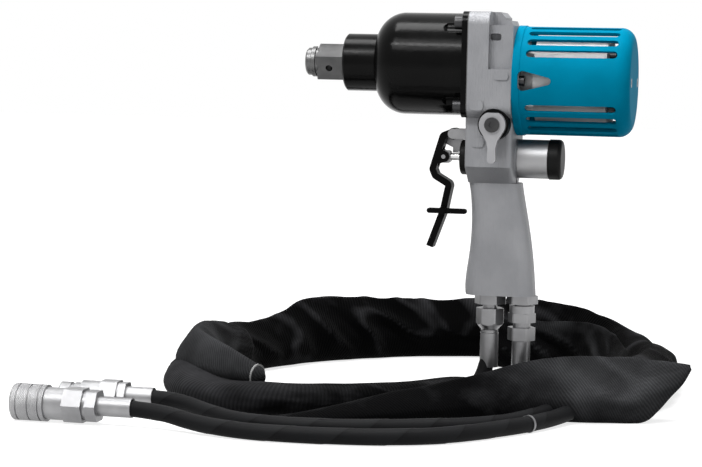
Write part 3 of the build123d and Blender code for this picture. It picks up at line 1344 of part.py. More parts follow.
def hose(name, route):
    """Tube along straight runs that tangent arcs join, each as large as its two runs allow."""
    points = [Vector(TOOL_X + x, TOOL_Y + y, z) for x, y, z in route]
    radii = []
    for before, corner, after in zip(points, points[1:], points[2:]):
        run_in = corner - before
        run_out = after - corner
        half_turn = math.radians(run_in.get_angle(run_out)) / 2
        radii.append(RUN_SHARE * min(run_in.length, run_out.length) / math.tan(half_turn))
    with BuildPart() as tube:
        with BuildLine():
            start = points[0]
            for corner, radius, before, after in zip(points[1:], radii, points, points[2:]):
                inward = (corner - before).normalized()
                outward = (after - corner).normalized()
                half_turn = math.radians(inward.get_angle(outward)) / 2
                reach = radius * math.tan(half_turn)
                middle_way = (outward - inward).normalized()
                arc_start = corner - inward * reach
                arc_end = corner + outward * reach
                arc_middle = corner + middle_way * (radius / math.cos(half_turn) - radius)
                Line(start, arc_start)
                ThreePointArc(arc_start, arc_middle, arc_end)
                start = arc_end
            Line(start, points[-1])
        with BuildSketch(Plane(origin=points[0], z_dir=points[1] - points[0])):
            Circle(HOSE_R)
        sweep()
    print(name, "bend radii", [round(radius) for radius in radii])
    return tube.part


save(hose("pressure hose", pressure_route), "pressure_hose")
save(hose("return hose", return_route), "return_hose")

# Hose sleeve: a fabric tube on the floor, with its flattened empty end standing over its mouth
# Each station is its centre's X and Y, its width and its height
SLEEVE_WALL = 3.5
SLEEVE_STATIONS = (
    (-14, -14, 68, 38),
    (-44, -40, 52, 33),
    (-104, -85, 52, 33),
    (-164, -115, 52, 33),
    (-224, -105, 54, 34),
    (-264, -63, 56, 38),
    (-276, 0, 56, 50),
    (-275, 90, 56, 58),
    (-257, 160, 56, 64),
    (-219, 225, 56, 67),
    (-164, 280, 56, 66),
    (-94, 325, 56, 62),
    (-14, 345, 56, 62),
    (56, 337, 58, 62),
    (111, 295, 60, 56),
    (141, 240, 60, 52),
    (158, 170, 60, 48),
    (156, 100, 60, 46),
    (136, 30, 60, 42),
    (118, -24, 64, 38),
)
FLAP_STATIONS = (
    (209, -27, 9, 50),
    (186, -31, 14, 56),
    (111, -33, 15, 57),
    (67, -42, 15, 50),
    (13, -62, 14, 32),
    (-23, -85, 14, 21),
    (-50, -105, 14, 16),
    (-94, -134, 9, 7),
    (-132, -158, 6, 3),
)
TUNNEL_END = (102, -66, 70, 38)


def standing_sections(stations, inset):
    """Upright ellipses square to the line through the stations, each resting on the floor."""
    sections = []
    for index, (x, y, width, height) in enumerate(stations):
        before = stations[max(index - 1, 0)]
        after = stations[min(index + 1, len(stations) - 1)]
        heading = Vector(after[0] - before[0], after[1] - before[1], 0).normalized()
        plane = Plane(
            origin=(TOOL_X + x, TOOL_Y + y, height / 2),
            x_dir=(heading.Y, -heading.X, 0),
            z_dir=heading,
        )
        with BuildSketch(plane) as section:
            Ellipse(width / 2 - inset, height / 2 - inset)
        sections.append(section.sketch)
    return sections


with BuildPart() as hose_sleeve:
    loft(standing_sections(SLEEVE_STATIONS, 0), ruled=True)
    loft(standing_sections(FLAP_STATIONS, 0), ruled=True)
    loft(standing_sections((*SLEEVE_STATIONS, TUNNEL_END), SLEEVE_WALL), ruled=True, mode=Mode.SUBTRACT)
save(hose_sleeve.part, "hose_sleeve")


def coupler_line(tip_x, y):
    """Plane at a coupler's tip facing the tool, for the steps along its line."""
    return Plane(origin=(TOOL_X + tip_x, TOOL_Y + y, COUPLER_AXIS_Z), x_dir=(0, 1, 0), z_dir=(1, 0, 0))


# Female coupler: body with its bore, locking sleeve, poppet, lock nut and ferrule
female = coupler_line(FEMALE_TIP_X, FEMALE_Y)
female_ferrule_start = FEMALE_LOCK_NUT[1]
with BuildPart() as female_coupler_body:
    add(
        turned(
            female,
            (1.5, FEMALE_BORE_DEPTH, COUPLER_BODY_R, COUPLER_BORE_R + RUN_FIT),
            (FEMALE_BORE_DEPTH, FEMALE_BODY_END, COUPLER_BODY_R, POPPET_STEM_R + RUN_FIT),
            (FEMALE_HEX_END, FEMALE_LOCK_NUT[0], COUPLER_BODY_R - 1.2, POPPET_STEM_R + RUN_FIT),
            (FEMALE_LOCK_NUT[0], FEMALE_HOSE_END, NECK_R, POPPET_STEM_R + RUN_FIT),
        )
    )
    add(
        nut(
            female.offset(FEMALE_BODY_END),
            COUPLER_HEX,
            FEMALE_HEX_END - FEMALE_BODY_END,
            POPPET_STEM_R + RUN_FIT,
        )
    )
save(female_coupler_body.part, "female_coupler_body")

with BuildPart() as coupler_sleeve:
    with BuildSketch(female):
        Circle(KNURL_R)
    extrude(amount=KNURL_LENGTH)
    fillet(coupler_sleeve.edges().group_by(Axis.X)[0], radius=2.2)
    for groove in KNURL_GROOVES:
        with BuildSketch(female.offset(groove)):
            Circle(KNURL_R)
            Circle(KNURL_R - 0.8, mode=Mode.SUBTRACT)
        extrude(amount=1.2, mode=Mode.SUBTRACT)
    with BuildSketch(female):
        Circle(COUPLER_BODY_R + RUN_FIT)
    extrude(amount=KNURL_LENGTH, mode=Mode.SUBTRACT)
save(coupler_sleeve.part, "coupler_sleeve")

female_poppet_face = FEMALE_BORE_DEPTH - POPPET_TRAVEL - POPPET_HEAD - 1
with BuildPart() as female_poppet:
    add(
        turned(
            female,
            (female_poppet_face, female_poppet_face + POPPET_HEAD, COUPLER_BORE_R - 0.1, 0),
            (female_poppet_face + POPPET_HEAD, FEMALE_BODY_END, POPPET_STEM_R, 0),
        )
    )
save(female_poppet.part, "female_poppet")

with BuildPart() as female_lock_nut:
    add(
        nut(
            female.offset(FEMALE_LOCK_NUT[0]),
            LOCK_NUT_HEX,
            FEMALE_LOCK_NUT[1] - FEMALE_LOCK_NUT[0],
            NECK_R + SCREW_CLEAR,
        )
    )
save(female_lock_nut.part, "female_lock_nut")

with BuildPart() as female_ferrule:
    add(
        turned(
            female,
            (female_ferrule_start, FEMALE_HOSE_END, FERRULE_R, NECK_R + RUN_FIT),
            (
                FEMALE_HOSE_END,
                female_ferrule_start + FEMALE_FERRULE_LENGTH,
                FERRULE_R,
                HOSE_R + RUN_FIT,
            ),
        )
    )
save(female_ferrule.part, "female_ferrule")

# Male coupler: nose with its locking groove, stepped body, poppet, hexagons and ferrule
male = coupler_line(MALE_TIP_X, MALE_Y)
with BuildPart() as male_coupler_body:
    with BuildSketch(male):
        Circle(COUPLER_BORE_R)
    extrude(amount=MALE_NOSE_LENGTH)
    chamfer(male_coupler_body.edges().group_by(Axis.X)[0], length=1)
    with BuildSketch(male.offset(MALE_NOSE_LENGTH / 2)):
        Circle(COUPLER_BORE_R)
        Circle(COUPLER_BORE_R - 1.2, mode=Mode.SUBTRACT)
    extrude(amount=4, mode=Mode.SUBTRACT)
    add(
        turned(
            male,
            (MALE_NOSE_LENGTH, MALE_STEP_END, MALE_STEP_R, 0),
            (MALE_HEX_END, MALE_HEX_END + 1.5, MALE_STEP_R, 0),
            (MALE_NUT_END, MALE_HOSE_END, NECK_R, 0),
        )
    )
    add(nut(male.offset(MALE_STEP_END), LOCK_NUT_HEX, MALE_HEX_END - MALE_STEP_END, POPPET_STEM_R))
    add(
        nut(
            male.offset(MALE_HEX_END + 1.5),
            NUT_HEX,
            MALE_NUT_END - MALE_HEX_END - 1.5,
            POPPET_STEM_R,
        )
    )
    with BuildSketch(male):
        Circle(POPPET_R + RUN_FIT)
    extrude(amount=POPPET_HEAD + POPPET_TRAVEL + 1, mode=Mode.SUBTRACT)
    with BuildSketch(male):
        Circle(POPPET_STEM_R + RUN_FIT)
    extrude(amount=MALE_HOSE_END, mode=Mode.SUBTRACT)
save(male_coupler_body.part, "male_coupler_body")

with BuildPart() as male_poppet:
    add(
        turned(
            male,
            (CLEAR, POPPET_HEAD, POPPET_R, 0),
            (POPPET_HEAD, POPPET_HEAD + 20, POPPET_STEM_R, 0),
        )
    )
save(male_poppet.part, "male_poppet")

with BuildPart() as male_ferrule:
    add(
        turned(
            male,
            (MALE_NUT_END, MALE_HOSE_END, FERRULE_R, NECK_R + RUN_FIT),
            (MALE_HOSE_END, MALE_NUT_END + MALE_FERRULE_LENGTH, FERRULE_R, HOSE_R + RUN_FIT),
        )
    )
save(male_ferrule.part, "male_ferrule")
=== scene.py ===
"""Looks of the hydraulic impact wrench, its hoses, hose sleeve and couplers.

Metres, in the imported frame. Places that belong to the tool are written in millimetres: X and Y
from the face between hammer case and housing on the drive's axis, as the CAD source has them,
and Z from the floor. place() turns them into metres.
"""

import json
import math

import bpy
from mathutils import Matrix, Vector, noise


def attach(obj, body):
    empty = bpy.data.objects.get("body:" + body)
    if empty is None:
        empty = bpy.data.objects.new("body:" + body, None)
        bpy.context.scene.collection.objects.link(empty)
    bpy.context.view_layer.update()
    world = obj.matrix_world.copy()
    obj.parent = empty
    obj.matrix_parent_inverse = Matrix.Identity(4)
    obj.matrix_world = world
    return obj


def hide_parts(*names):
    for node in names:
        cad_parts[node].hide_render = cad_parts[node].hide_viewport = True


MM = 0.001
TOOL_X = 47.0
TOOL_Y = -106.0

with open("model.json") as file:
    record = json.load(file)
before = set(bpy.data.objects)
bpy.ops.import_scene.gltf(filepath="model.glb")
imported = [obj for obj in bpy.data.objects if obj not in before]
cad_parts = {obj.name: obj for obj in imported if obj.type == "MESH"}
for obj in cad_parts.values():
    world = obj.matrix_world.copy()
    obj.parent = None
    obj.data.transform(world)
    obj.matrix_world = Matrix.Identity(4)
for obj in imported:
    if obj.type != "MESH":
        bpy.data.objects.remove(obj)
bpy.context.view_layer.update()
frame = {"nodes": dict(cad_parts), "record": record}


def place(x, y, z):
    """A point in the tool's own X and Y and its height above the floor, in metres."""
    return Vector(((TOOL_X + x) * MM, (TOOL_Y + y) * MM, z * MM))


# Camera: its spot in the tool's millimetres, its angles in degrees, its lens in millimetres
CAMERA_SPOT = (346.3, -1973.0, 328.0)
CAMERA_TURN = 13.3
CAMERA_PITCH = 4.70
CAMERA_ROLL = 1.15
CAMERA_LENS = 106.9
SENSOR_WIDTH = 36
CAMERA_REACH = 20


def add_camera():
    turn = math.radians(CAMERA_TURN)
    pitch = math.radians(CAMERA_PITCH)
    roll = math.radians(CAMERA_ROLL)
    forward = Vector(
        (
            -math.sin(turn) * math.cos(pitch),
            math.cos(turn) * math.cos(pitch),
            -math.sin(pitch),
        )
    )
    level_right = forward.cross(Vector((0, 0, 1))).normalized()
    level_up = level_right.cross(forward)
    right = math.cos(roll) * level_right + math.sin(roll) * level_up
    up = right.cross(forward)
    data = bpy.data.cameras.new("camera")
    data.lens = CAMERA_LENS
    data.sensor_width = SENSOR_WIDTH
    data.clip_end = CAMERA_REACH
    camera = bpy.data.objects.new("camera", data)
    turned = Matrix((right, up, -forward)).transposed().to_4x4()
    camera.matrix_world = Matrix.Translation(place(*CAMERA_SPOT)) @ turned
    bpy.context.scene.collection.objects.link(camera)
    bpy.context.scene.camera = camera


add_camera()


# Hoses: the same routes as the CAD tubes
HOSE_DIAMETER = 0.015
PRESSURE_ROUTE = (
    (19, 0, 66),
    (19, 0, 11),
    (-39, -47, 14),
    (-99, -92, 14),
    (-163, -123, 14),
    (-228, -113, 14),
    (-272, -67, 15),
    (-284, -1, 18),
    (-283, 91, 20),
    (-265, 163, 21),
    (-226, 230, 22),
    (-169, 287, 22),
    (-97, 333, 21),
    (-15, 353, 21),
    (59, 345, 21),
    (117, 301, 20),
    (149, 243, 19),
    (166, 171, 18),
    (164, 99, 18),
    (144, 28, 15),
    (126, -27, 14),
    (98, -100, 8),
    (73, -148, 7.7),
    (40, -194, 7.7),
    (14, -222, 7.7),
    (-25, -243, 7.7),
    (-78, -256, 7.7),
    (-146, -259, 7.7),
    (-198, -244, 9),
    (-244, -228, 16.8),
    (-291, -228, 16.8),
)
RETURN_ROUTE = (
    (50, 0, 60),
    (50, 0, 9),
    (-5, 14, 11),
    (-49, -33, 14),
    (-109, -78, 14),
    (-165, -107, 14),
    (-219, -99, 14),
    (-256, -59, 15),
    (-268, 1, 18),
    (-267, 89, 20),
    (-249, 157, 21),
    (-212, 220, 22),
    (-159, 273, 22),
    (-91, 317, 21),
    (-13, 337, 21),
    (53, 329, 21),
    (105, 289, 20),
    (133, 237, 19),
    (150, 169, 18),
    (148, 101, 18),
    (128, 32, 15),
    (110, -21, 14),
    (84, -86, 9),
    (60, -132, 7.7),
    (36, -158, 7.7),
    (4, -176, 7.7),
    (-38, -196, 7.7),
    (-80, -210, 7.7),
    (-122, -215, 7.7),
    (-165, -210, 7.7),
    (-204, -185, 9),
    (-244, -165, 16.8),
    (-286, -165, 16.8),
)
HOSE_SIDES = 28
WRAP_PITCH = 0.053
WRAP_STEP = 0.00035
HOSE_STEP = 0.003
SPLINE_CUTS = 16
FEMALE_COUPLER = [
    "female_coupler_body",
    "coupler_sleeve",
    "female_poppet",
    "female_lock_nut",
    "female_ferrule",
]
MALE_COUPLER = ["male_coupler_body", "male_poppet", "male_ferrule"]


def spline_points(name, route):
    """Points along the NURBS spline that has the route as its control points."""
    data = bpy.data.curves.new(name + "_line", "CURVE")
    data.dimensions = "3D"
    data.resolution_u = SPLINE_CUTS
    spline = data.splines.new("NURBS")
    spline.points.add(len(route) - 1)
    for point, spot in zip(spline.points, route):
        point.co = (*place(*spot), 1)
    spline.order_u = 3
    spline.use_endpoint_u = True
    line = bpy.data.objects.new(name + "_line", data)
    mesh = bpy.data.meshes.new_from_object(line)
    points = [vertex.co.copy() for vertex in mesh.vertices]
    bpy.data.meshes.remove(mesh)
    bpy.data.objects.remove(line)
    bpy.data.curves.remove(data)
    return points


def even_points(points, step):
    """The same line cut at even distances, with the distance of each point."""
    travelled = [0.0]
    for a, b in zip(points, points[1:]):
        travelled.append(travelled[-1] + (b - a).length)
    count = round(travelled[-1] / step)
    cuts = []
    index = 0
    for cut in range(count + 1):
        distance = travelled[-1] * cut / count
        while index < len(points) - 2 and travelled[index + 1] < distance:
            index += 1
        span = travelled[index + 1] - travelled[index]
        share = (distance - travelled[index]) / span if span else 0
        cuts.append((points[index].lerp(points[index + 1], min(share, 1)), distance))
    return cuts


def tube_mesh(name, rings, distances, closed_ends):
    """Mesh of rings of equal size, with UVs in metres along the tube and around it."""
    sides = len(rings[0])
    vertices = [spot for ring in rings for spot in ring]
    faces = []
    corners = []
    for row in range(len(rings) - 1):
        around = [0.0]
        for side in range(sides):
            here = rings[row][side]
            there = rings[row][(side + 1) % sides]
            around.append(around[-1] + (there - here).length)
        for side in range(sides):
            after = (side + 1) % sides
            faces.append(
                (
                    row * sides + side,
                    row * sides + after,
                    (row + 1) * sides + after,
                    (row + 1) * sides + side,
                )
            )
            corners += [
                (distances[row], around[side]),
                (distances[row], around[side + 1]),
                (distances[row + 1], around[side + 1]),
                (distances[row + 1], around[side]),
            ]
    if closed_ends:
        faces.append(tuple(reversed(range(sides))))
        faces.append(tuple((len(rings) - 1) * sides + side for side in range(sides)))
        corners += [(0.0, 0.0)] * (2 * sides)
    mesh = bpy.data.meshes.new(name)
    mesh.from_pydata([tuple(spot) for spot in vertices], [], faces)
    layer = mesh.uv_layers.new(name="UVMap")
    for loop, corner in zip(layer.data, corners):
        loop.uv = corner
    mesh.shade_smooth()
    mesh.update()
    obj = bpy.data.objects.new(name, mesh)
    bpy.context.scene.collection.objects.link(obj)
    return obj


def hose(name, route):
    """Wrapped hose: each turn of the wrap's tape stands a little over the next."""
    cuts = even_points(spline_points(name, route), HOSE_STEP)
    rings = []
    side_way = Vector((1, 0, 0))
    for index, (centre, distance) in enumerate(cuts):
        ahead = cuts[min(index + 1, len(cuts) - 1)][0]
        behind = cuts[max(index - 1, 0)][0]
        heading = (ahead - behind).normalized()
        side_way = (side_way - heading * side_way.dot(heading)).normalized()
        other_way = heading.cross(side_way)
        ring = []
        for side in range(HOSE_SIDES):
            angle = 2 * math.pi * side / HOSE_SIDES
            phase = (distance / WRAP_PITCH + side / HOSE_SIDES) % 1.0
            radius = HOSE_DIAMETER / 2 - WRAP_STEP * phase
            spoke = math.cos(angle) * side_way + math.sin(angle) * other_way
            ring.append(centre + radius * spoke)
        rings.append(ring)
    tube = tube_mesh(name, rings, [distance for _, distance in cuts], True)
    return tube, [centre for centre, _ in cuts]


pressure_tube, pressure_path = hose("pressure_tube", PRESSURE_ROUTE)
return_tube, return_path = hose("return_tube", RETURN_ROUTE)
for tube, path, node, exit_spot, coupler in (
    (pressure_tube, pressure_path, "pressure_hose", (19, 0, 40), FEMALE_COUPLER),
    (return_tube, return_path, "return_hose", (50, 0, 36), MALE_COUPLER),
):
    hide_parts(node)
    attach(tube, "tool")


# Hose sleeve: stations give X, Y, height of the middle, width, height, top's pinch, fold depth
RING_STATIONS = (
    (0, -4, 13, 58, 25, 0.0, 1.0),
    (-14, -14, 13, 60, 26, 0.0, 1.0),
    (-44, -40, 12, 54, 24, 0.0, 1.8),
    (-104, -85, 12.5, 52, 25, 0.0, 1.8),
    (-164, -115, 13.5, 54, 27, 0.0, 1.5),
    (-224, -105, 13.5, 54, 27, 0.0, 0.8),
    (-260, -63, 18, 52, 36, 0.1, 1.5),
    (-271, 0, 21, 50, 42, 0.3, 3.0),
    (-275, 90, 26, 54, 52, 0.7, 4.0),
    (-257, 160, 25, 54, 50, 0.75, 4.5),
    (-238, 196, 28.5, 54, 57, 0.8, 5.0),
    (-219, 225, 34, 55, 68, 0.85, 5.0),
    (-164, 280, 33, 55, 66, 0.8, 5.5),
    (-94, 325, 31, 55, 62, 0.8, 5.5),
    (-14, 345, 32, 56, 64, 0.8, 5.0),
    (56, 337, 31, 58, 62, 0.8, 5.0),
    (88, 316, 28, 58, 55, 0.7, 5.0),
    (111, 295, 23.5, 58, 47, 0.6, 4.0),
    (141, 240, 20, 60, 40, 0.4, 4.0),
    (160, 170, 21.5, 60, 43, 0.5, 4.5),
    (164, 100, 24, 60, 48, 0.7, 4.0),
    (158, 40, 24, 60, 48, 0.6, 2.5),
    (148, 8, 23, 54, 44, 0.5, 1.5),
)
TUCK_STATIONS = (
    (-14, 262, 26, 20, 50, 0.9, 2.0),
    (6, 258, 26, 28, 52, 0.9, 4.0),
    (40, 248, 26, 30, 52, 0.85, 5.5),
    (80, 232, 28, 32, 55, 0.8, 5.5),
    (104, 210, 27, 32, 54, 0.75, 5.0),
    (118, 188, 24.5, 32, 49, 0.7, 4.5),
    (130, 160, 22, 32, 44, 0.7, 4.0),
    (138, 110, 22, 30, 44, 0.7, 3.0),
    (134, 50, 20, 26, 40, 0.7, 2.0),
)
FLAP_STATIONS = (
    (213, -22, 50, 3, 3, 0.5, 0.1),
    (207, -24, 45.5, 8, 14, 0.8, 0.3),
    (199, -28, 41.5, 14, 24, 0.8, 0.8),
    (190, -31, 37, 22, 35, 0.85, 1.5),
    (181, -34, 32.5, 30, 45, 0.85, 2.2),
    (168, -38, 28.8, 38, 56, 0.85, 3.0),
    (140, -44, 28.6, 50, 57, 0.85, 3.0),
    (108, -50, 28.6, 56, 57, 0.85, 2.0),
    (67, -53, 25.4, 44, 50, 0.85, 1.2),
    (13, -72, 18, 40, 36, 0.8, 0.8),
    (-23, -93, 14.2, 38, 28.4, 0.75, 0.5),
    (-50, -113, 12.4, 36, 24.6, 0.7, 0.3),
    (-94, -141, 7.5, 27, 15, 0.6, 0.2),
    (-132, -163, 4, 18, 8, 0.5, 0.1),
    (-172, -172, 2, 8, 3, 0.5, 0.0),
)
# Places where the cloth's colour is made lighter: X, Y, reach and amount
LIGHTER_SPOTS = ((-235, -60, 95, 0.5), (190, -30, 75, 0.5), (80, -50, 70, 0.28))
LOBE_STATIONS = (
    (-252, 84, 34, 24, 34, 0.4, 1.0),
    (-263, 44, 39, 36, 46, 0.4, 2.0),
    (-268, 2, 41, 44, 50, 0.6, 1.5),
    (-262, -34, 41, 46, 47, 0.75, 1.0),
    (-241, -58, 39, 44, 42, 0.8, 1.0),
    (-220, -76, 37, 38, 35, 0.8, 1.0),
    (-202, -87, 34, 32, 28, 0.7, 0.8),
    (-190, -93, 32, 24, 20, 0.3, 0.6),
    (-182, -96, 31, 14, 14, 0.2, 0.3),
    (-179, -97, 31, 3, 5, 0.1, 0.0),
)
STATION_CUTS = 24
STATION_STEP = 3.0
LOWEST_LEVEL = 0.8
CLOTH_THICKNESS = 0.0012

# Section of a tube: 1 is an ellipse, less is squarer, and the pinch sets in below the middle
SQUARENESS = 0.85
PINCH_START = 0.25
PINCH_CURVE = 1.2
PINCH_DEPTH = 0.72

# Steps through the noise of folds and wrinkles: for each metre along a tube, for the rise
# from the middle of its section to the top, and from the middle to either wall
FOLD_RATE = 19
FOLD_RISE = 0.7
FOLD_WALL = 3
WRINKLE_RATE = 75
WRINKLE_LEAN = 1.5
WRINKLE_RISE = 3
WRINKLE_WALL = 5
WRINKLE_SEED = 9

# Folds are sharp ridges over broad and slower swells, sunk a little
RIDGE_SHARPNESS = 4.6
RIDGE_SHARE = 0.8
BROAD_RATE = 0.45
BROAD_RISE = 0.6
BROAD_SEED = 20
BROAD_SHARE = 0.9
FOLD_SINK = 0.1

# How far folds swell a section: wrinkles' part, loss underneath, at a pinch, elsewhere, upwards
WRINKLE_SHARE = 0.18
UNDERSIDE_LOSS = 0.4
PINCHED_SWELL = 0.45
OPEN_SWELL = 0.55
UPWARD_SWELL = 0.3

# Cloth colour: a level everywhere, painted highlight on ridges past a height and on wrinkles,
# painted light towards the top
BASE_TONE = 0.12
RIDGE_HIGHLIGHT = 0.55
RIDGE_START = 0.1
WRINKLE_HIGHLIGHT = 0.12
TOP_LIGHT = 0.08
FULL_HIGHLIGHT_FOLD = 3


def smooth_stations(stations, step):
    """Stations at even distances along the smooth line through the given ones."""
    dense = []
    for index in range(len(stations) - 1):
        knots = [
            stations[max(index - 1, 0)],
            stations[index],
            stations[index + 1],
            stations[min(index + 2, len(stations) - 1)],
        ]
        for part in range(STATION_CUTS):
            t = part / STATION_CUTS
            dense.append(
                tuple(
                    0.5
                    * (
                        2 * b
                        + (c - a) * t
                        + (2 * a - 5 * b + 4 * c - d) * t**2
                        + (3 * b - a - 3 * c + d) * t**3
                    )
                    for a, b, c, d in zip(*knots)
                )
            )
    dense.append(stations[-1])
    chosen = [dense[0]]
    for station in dense[1:]:
        if math.dist(station[:2], chosen[-1][:2]) >= step:
            chosen.append(station)
    chosen[-1] = stations[-1]
    return chosen


def crease(spot, seed):
    """Cloth folds between -1 and 1: round hollows that meet in sharper ridges."""
    ridge = 1 - RIDGE_SHARPNESS * abs(noise.noise(Vector((spot[0], spot[1], seed))))
    broad_spot = (BROAD_RATE * spot[0], BROAD_RISE * spot[1], seed + BROAD_SEED)
    broad = noise.noise(Vector(broad_spot))
    return max(-1.0, min(1.0, RIDGE_SHARE * ridge + BROAD_SHARE * broad - FOLD_SINK))


def spot_lightening(x, y):
    """How much lighter the cloth's colour is made at a place, from 0 to 1."""
    return sum(
        amount * math.exp(-((x - spot_x) ** 2 + (y - spot_y) ** 2) / reach**2)
        for spot_x, spot_y, reach, amount in LIGHTER_SPOTS
    )


def painted_cloth_light(fold, folds, wrinkles, rise):
    """Painted highlight where the cloth's folds and wrinkles stand out, and painted light towards
    its top.
    """
    ridges = RIDGE_HIGHLIGHT * max(folds - RIDGE_START, 0) + WRINKLE_HIGHLIGHT * wrinkles
    return min(fold / FULL_HIGHLIGHT_FOLD, 1) * ridges + TOP_LIGHT * rise


def fabric_tube(name, stations, sides, seed, lean, slant, closed_ends=False):
    """Fabric tube on the floor whose section may pinch to a folded edge along its top."""
    chosen = smooth_stations(stations, STATION_STEP)
    rings = []
    painted_light_and_spots = []
    distances = [0.0]
    for index, (x, y, middle, width, height, pinch, fold) in enumerate(chosen):
        before = chosen[max(index - 1, 0)]
        after = chosen[min(index + 1, len(chosen) - 1)]
        heading = Vector((after[0] - before[0], after[1] - before[1], 0)).normalized()
        across = Vector((heading.y, -heading.x, 0))
        if index:
            distances.append(distances[-1] + math.dist((x, y), chosen[index - 1][:2]) * MM)
        along = distances[-1]
        ring = []
        for side in range(sides):
            angle = 2 * math.pi * side / sides
            flat_share = math.copysign(abs(math.cos(angle)) ** SQUARENESS, math.cos(angle))
            rise = math.copysign(abs(math.sin(angle)) ** SQUARENESS, math.sin(angle))
            slimmer = 1 - pinch * max(rise + PINCH_START, 0) ** PINCH_CURVE * PINCH_DEPTH
            out = width / 2 * flat_share * slimmer
            up = height / 2 * rise
            wall = math.copysign(1, flat_share)
            fold_spot = (
                along * FOLD_RATE + slant * wall * rise,
                FOLD_RISE * rise + FOLD_WALL * wall,
            )
            folds = crease(fold_spot, seed)
            wrinkle_spot = (
                along * WRINKLE_RATE + WRINKLE_LEAN * rise,
                WRINKLE_RISE * rise + WRINKLE_WALL * wall,
                seed + WRINKLE_SEED,
            )
            wrinkles = noise.noise(Vector(wrinkle_spot))
            lower = max(-rise, 0)
            swell = fold * (folds + WRINKLE_SHARE * wrinkles) * (1 - UNDERSIDE_LOSS * lower)
            out += swell * flat_share * (PINCHED_SWELL + OPEN_SWELL * slimmer)
            up += UPWARD_SWELL * swell * max(rise, 0)
            level = max(middle + up, LOWEST_LEVEL)
            spot = place(x, y, level) + across * (out + lean * (level - middle)) * MM
            ring.append(spot)
            # Painted highlights on fold ridges and wrinkles, painted light towards the top, and
            # lighter spots, kept for the cloth's colour
            painted_light_and_spots.append(BASE_TONE + painted_cloth_light(fold, folds, wrinkles, rise) + spot_lightening(x, y))
        rings.append(ring)
    tube = tube_mesh(name, rings, distances, closed_ends)
    layer = tube.data.attributes.new("painted_light_and_spots", "FLOAT", "POINT")
    layer.data.foreach_set("value", painted_light_and_spots)
    thickness = tube.modifiers.new("cloth", "SOLIDIFY")
    thickness.thickness = CLOTH_THICKNESS
    thickness.offset = -1
    thickness.use_rim = True
    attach(tube, "tool")
    return tube


sleeve_ring = fabric_tube("sleeve_ring", RING_STATIONS, 80, 3.0, 0.0, 0.5)
sleeve_tuck = fabric_tube("sleeve_tuck", TUCK_STATIONS, 56, 11.0, 0.0, 1.2)
sleeve_flap = fabric_tube("sleeve_flap", FLAP_STATIONS, 56, 7.0, 0.3, 0.6)
sleeve_lobe = fabric_tube("sleeve_lobe", LOBE_STATIONS, 56, 5.0, 0.1, 0.4, True)
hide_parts("hose_sleeve")


# Clip on the pressure hose and tie at the lobe's end
CLIP_SPOT = (79.2, -136.0, 7.8)
CLIP_RADIUS = 8.2
CLIP_WIDTH = 2.6
TIE_SPOT = (-186.0, -94.6, 31.0)
TIE_WAY = (8.0, -3.0, -0.6)
TIE_RADIUS = 11.4
TIE_WIDTH = 1.8
BAND_DEPTH = 1.6
BAND_SIDES = 36


def band(name, centre, way, radius, width):
    """Narrow ring about a line, whose inner rim is sunk into what it goes round."""
    way = way.normalized()
    side_way = way.orthogonal().normalized()
    other_way = way.cross(side_way)
    angles = [2 * math.pi * side / BAND_SIDES for side in range(BAND_SIDES)]
    spokes = [math.cos(angle) * side_way + math.sin(angle) * other_way for angle in angles]
    rings = [
        [centre + (along * way + reach * spoke) * MM for spoke in spokes]
        for along, reach in (
            (-width / 2, radius - BAND_DEPTH),
            (-width / 2, radius),
            (width / 2, radius),
            (width / 2, radius - BAND_DEPTH),
        )
    ]
    piece = tube_mesh(name, rings, [0.0] * len(rings), True)
    piece.data.shade_flat()
    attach(piece, "tool")
    return piece


clip_spot = place(*CLIP_SPOT)
clip_index = min(
    range(1, len(pressure_path) - 1), key=lambda index: (pressure_path[index] - clip_spot).length
)
clip_way = pressure_path[clip_index + 1] - pressure_path[clip_index - 1]
hose_clip = band(
    "hose_clip", pressure_path[clip_index], clip_way, CLIP_RADIUS, CLIP_WIDTH
)
lobe_tie = band(
    "lobe_tie", place(*TIE_SPOT), Vector(TIE_WAY), TIE_RADIUS, TIE_WIDTH
)


# Materials: lengths in metres, scales for each metre, shares and factors from 0 to 1
PATCH_SCALE = 30.0
PLATING_GRAIN = 1400.0
PLATING_DEPTH = 0.00008
KNURL_PITCH = 0.0022
KNURLS_AROUND = 50
WAVES_PER_UNIT = 20
# Shares in the cloth's colour of the painted fold highlights, painted top light and lighter
# spots, and of random patches
LIGHT_AND_SPOTS_SHARE = 0.62
PATCH_SHARE = 0.38
CLOTH_PATCH_SCALE = 26.0
RIB_SHADE = 0.52
CLOTH_SHEEN = 0.015
# Hose wrap's painted shade: end of the near-black line at each lap, and start of the darkest part
# under the next turn
LAP_SHADOW_END = 0.04
LAP_SHADE_START = 0.97


def new_material(name, colour, metallic, roughness):
    material = bpy.data.materials.new(name)
    material.use_nodes = True
    shader = material.node_tree.nodes["Principled BSDF"]
    shader.inputs["Base Color"].default_value = (*colour, 1)
    shader.inputs["Metallic"].default_value = metallic
    shader.inputs["Roughness"].default_value = roughness
    shader.inputs["Specular IOR Level"].default_value = 0.5 if metallic > 0.5 else 0.25
    return material, material.node_tree, shader


def add_node(tree, kind, **inputs):
    node = tree.nodes.new(kind)
    for name, value in inputs.items():
        node.inputs[name.replace("_", " ")].default_value = value
    return node


def math_node(tree, operation, *values):
    """Math node whose inputs are plain numbers or the outputs of other nodes."""
    node = tree.nodes.new("ShaderNodeMath")
    node.operation = operation
    for socket, value in zip(node.inputs, values):
        if isinstance(value, (int, float)):
            socket.default_value = value
        else:
            tree.links.new(value, socket)
    return node.outputs["Value"]


def tube_uv(tree):
    """UVs of a tube, in metres along it and around it."""
    uv = tree.nodes.new("ShaderNodeUVMap")
    uv.uv_map = "UVMap"
    return uv.outputs["UV"]


def grey(*levels):
    return tuple((level,) * 3 for level in levels)


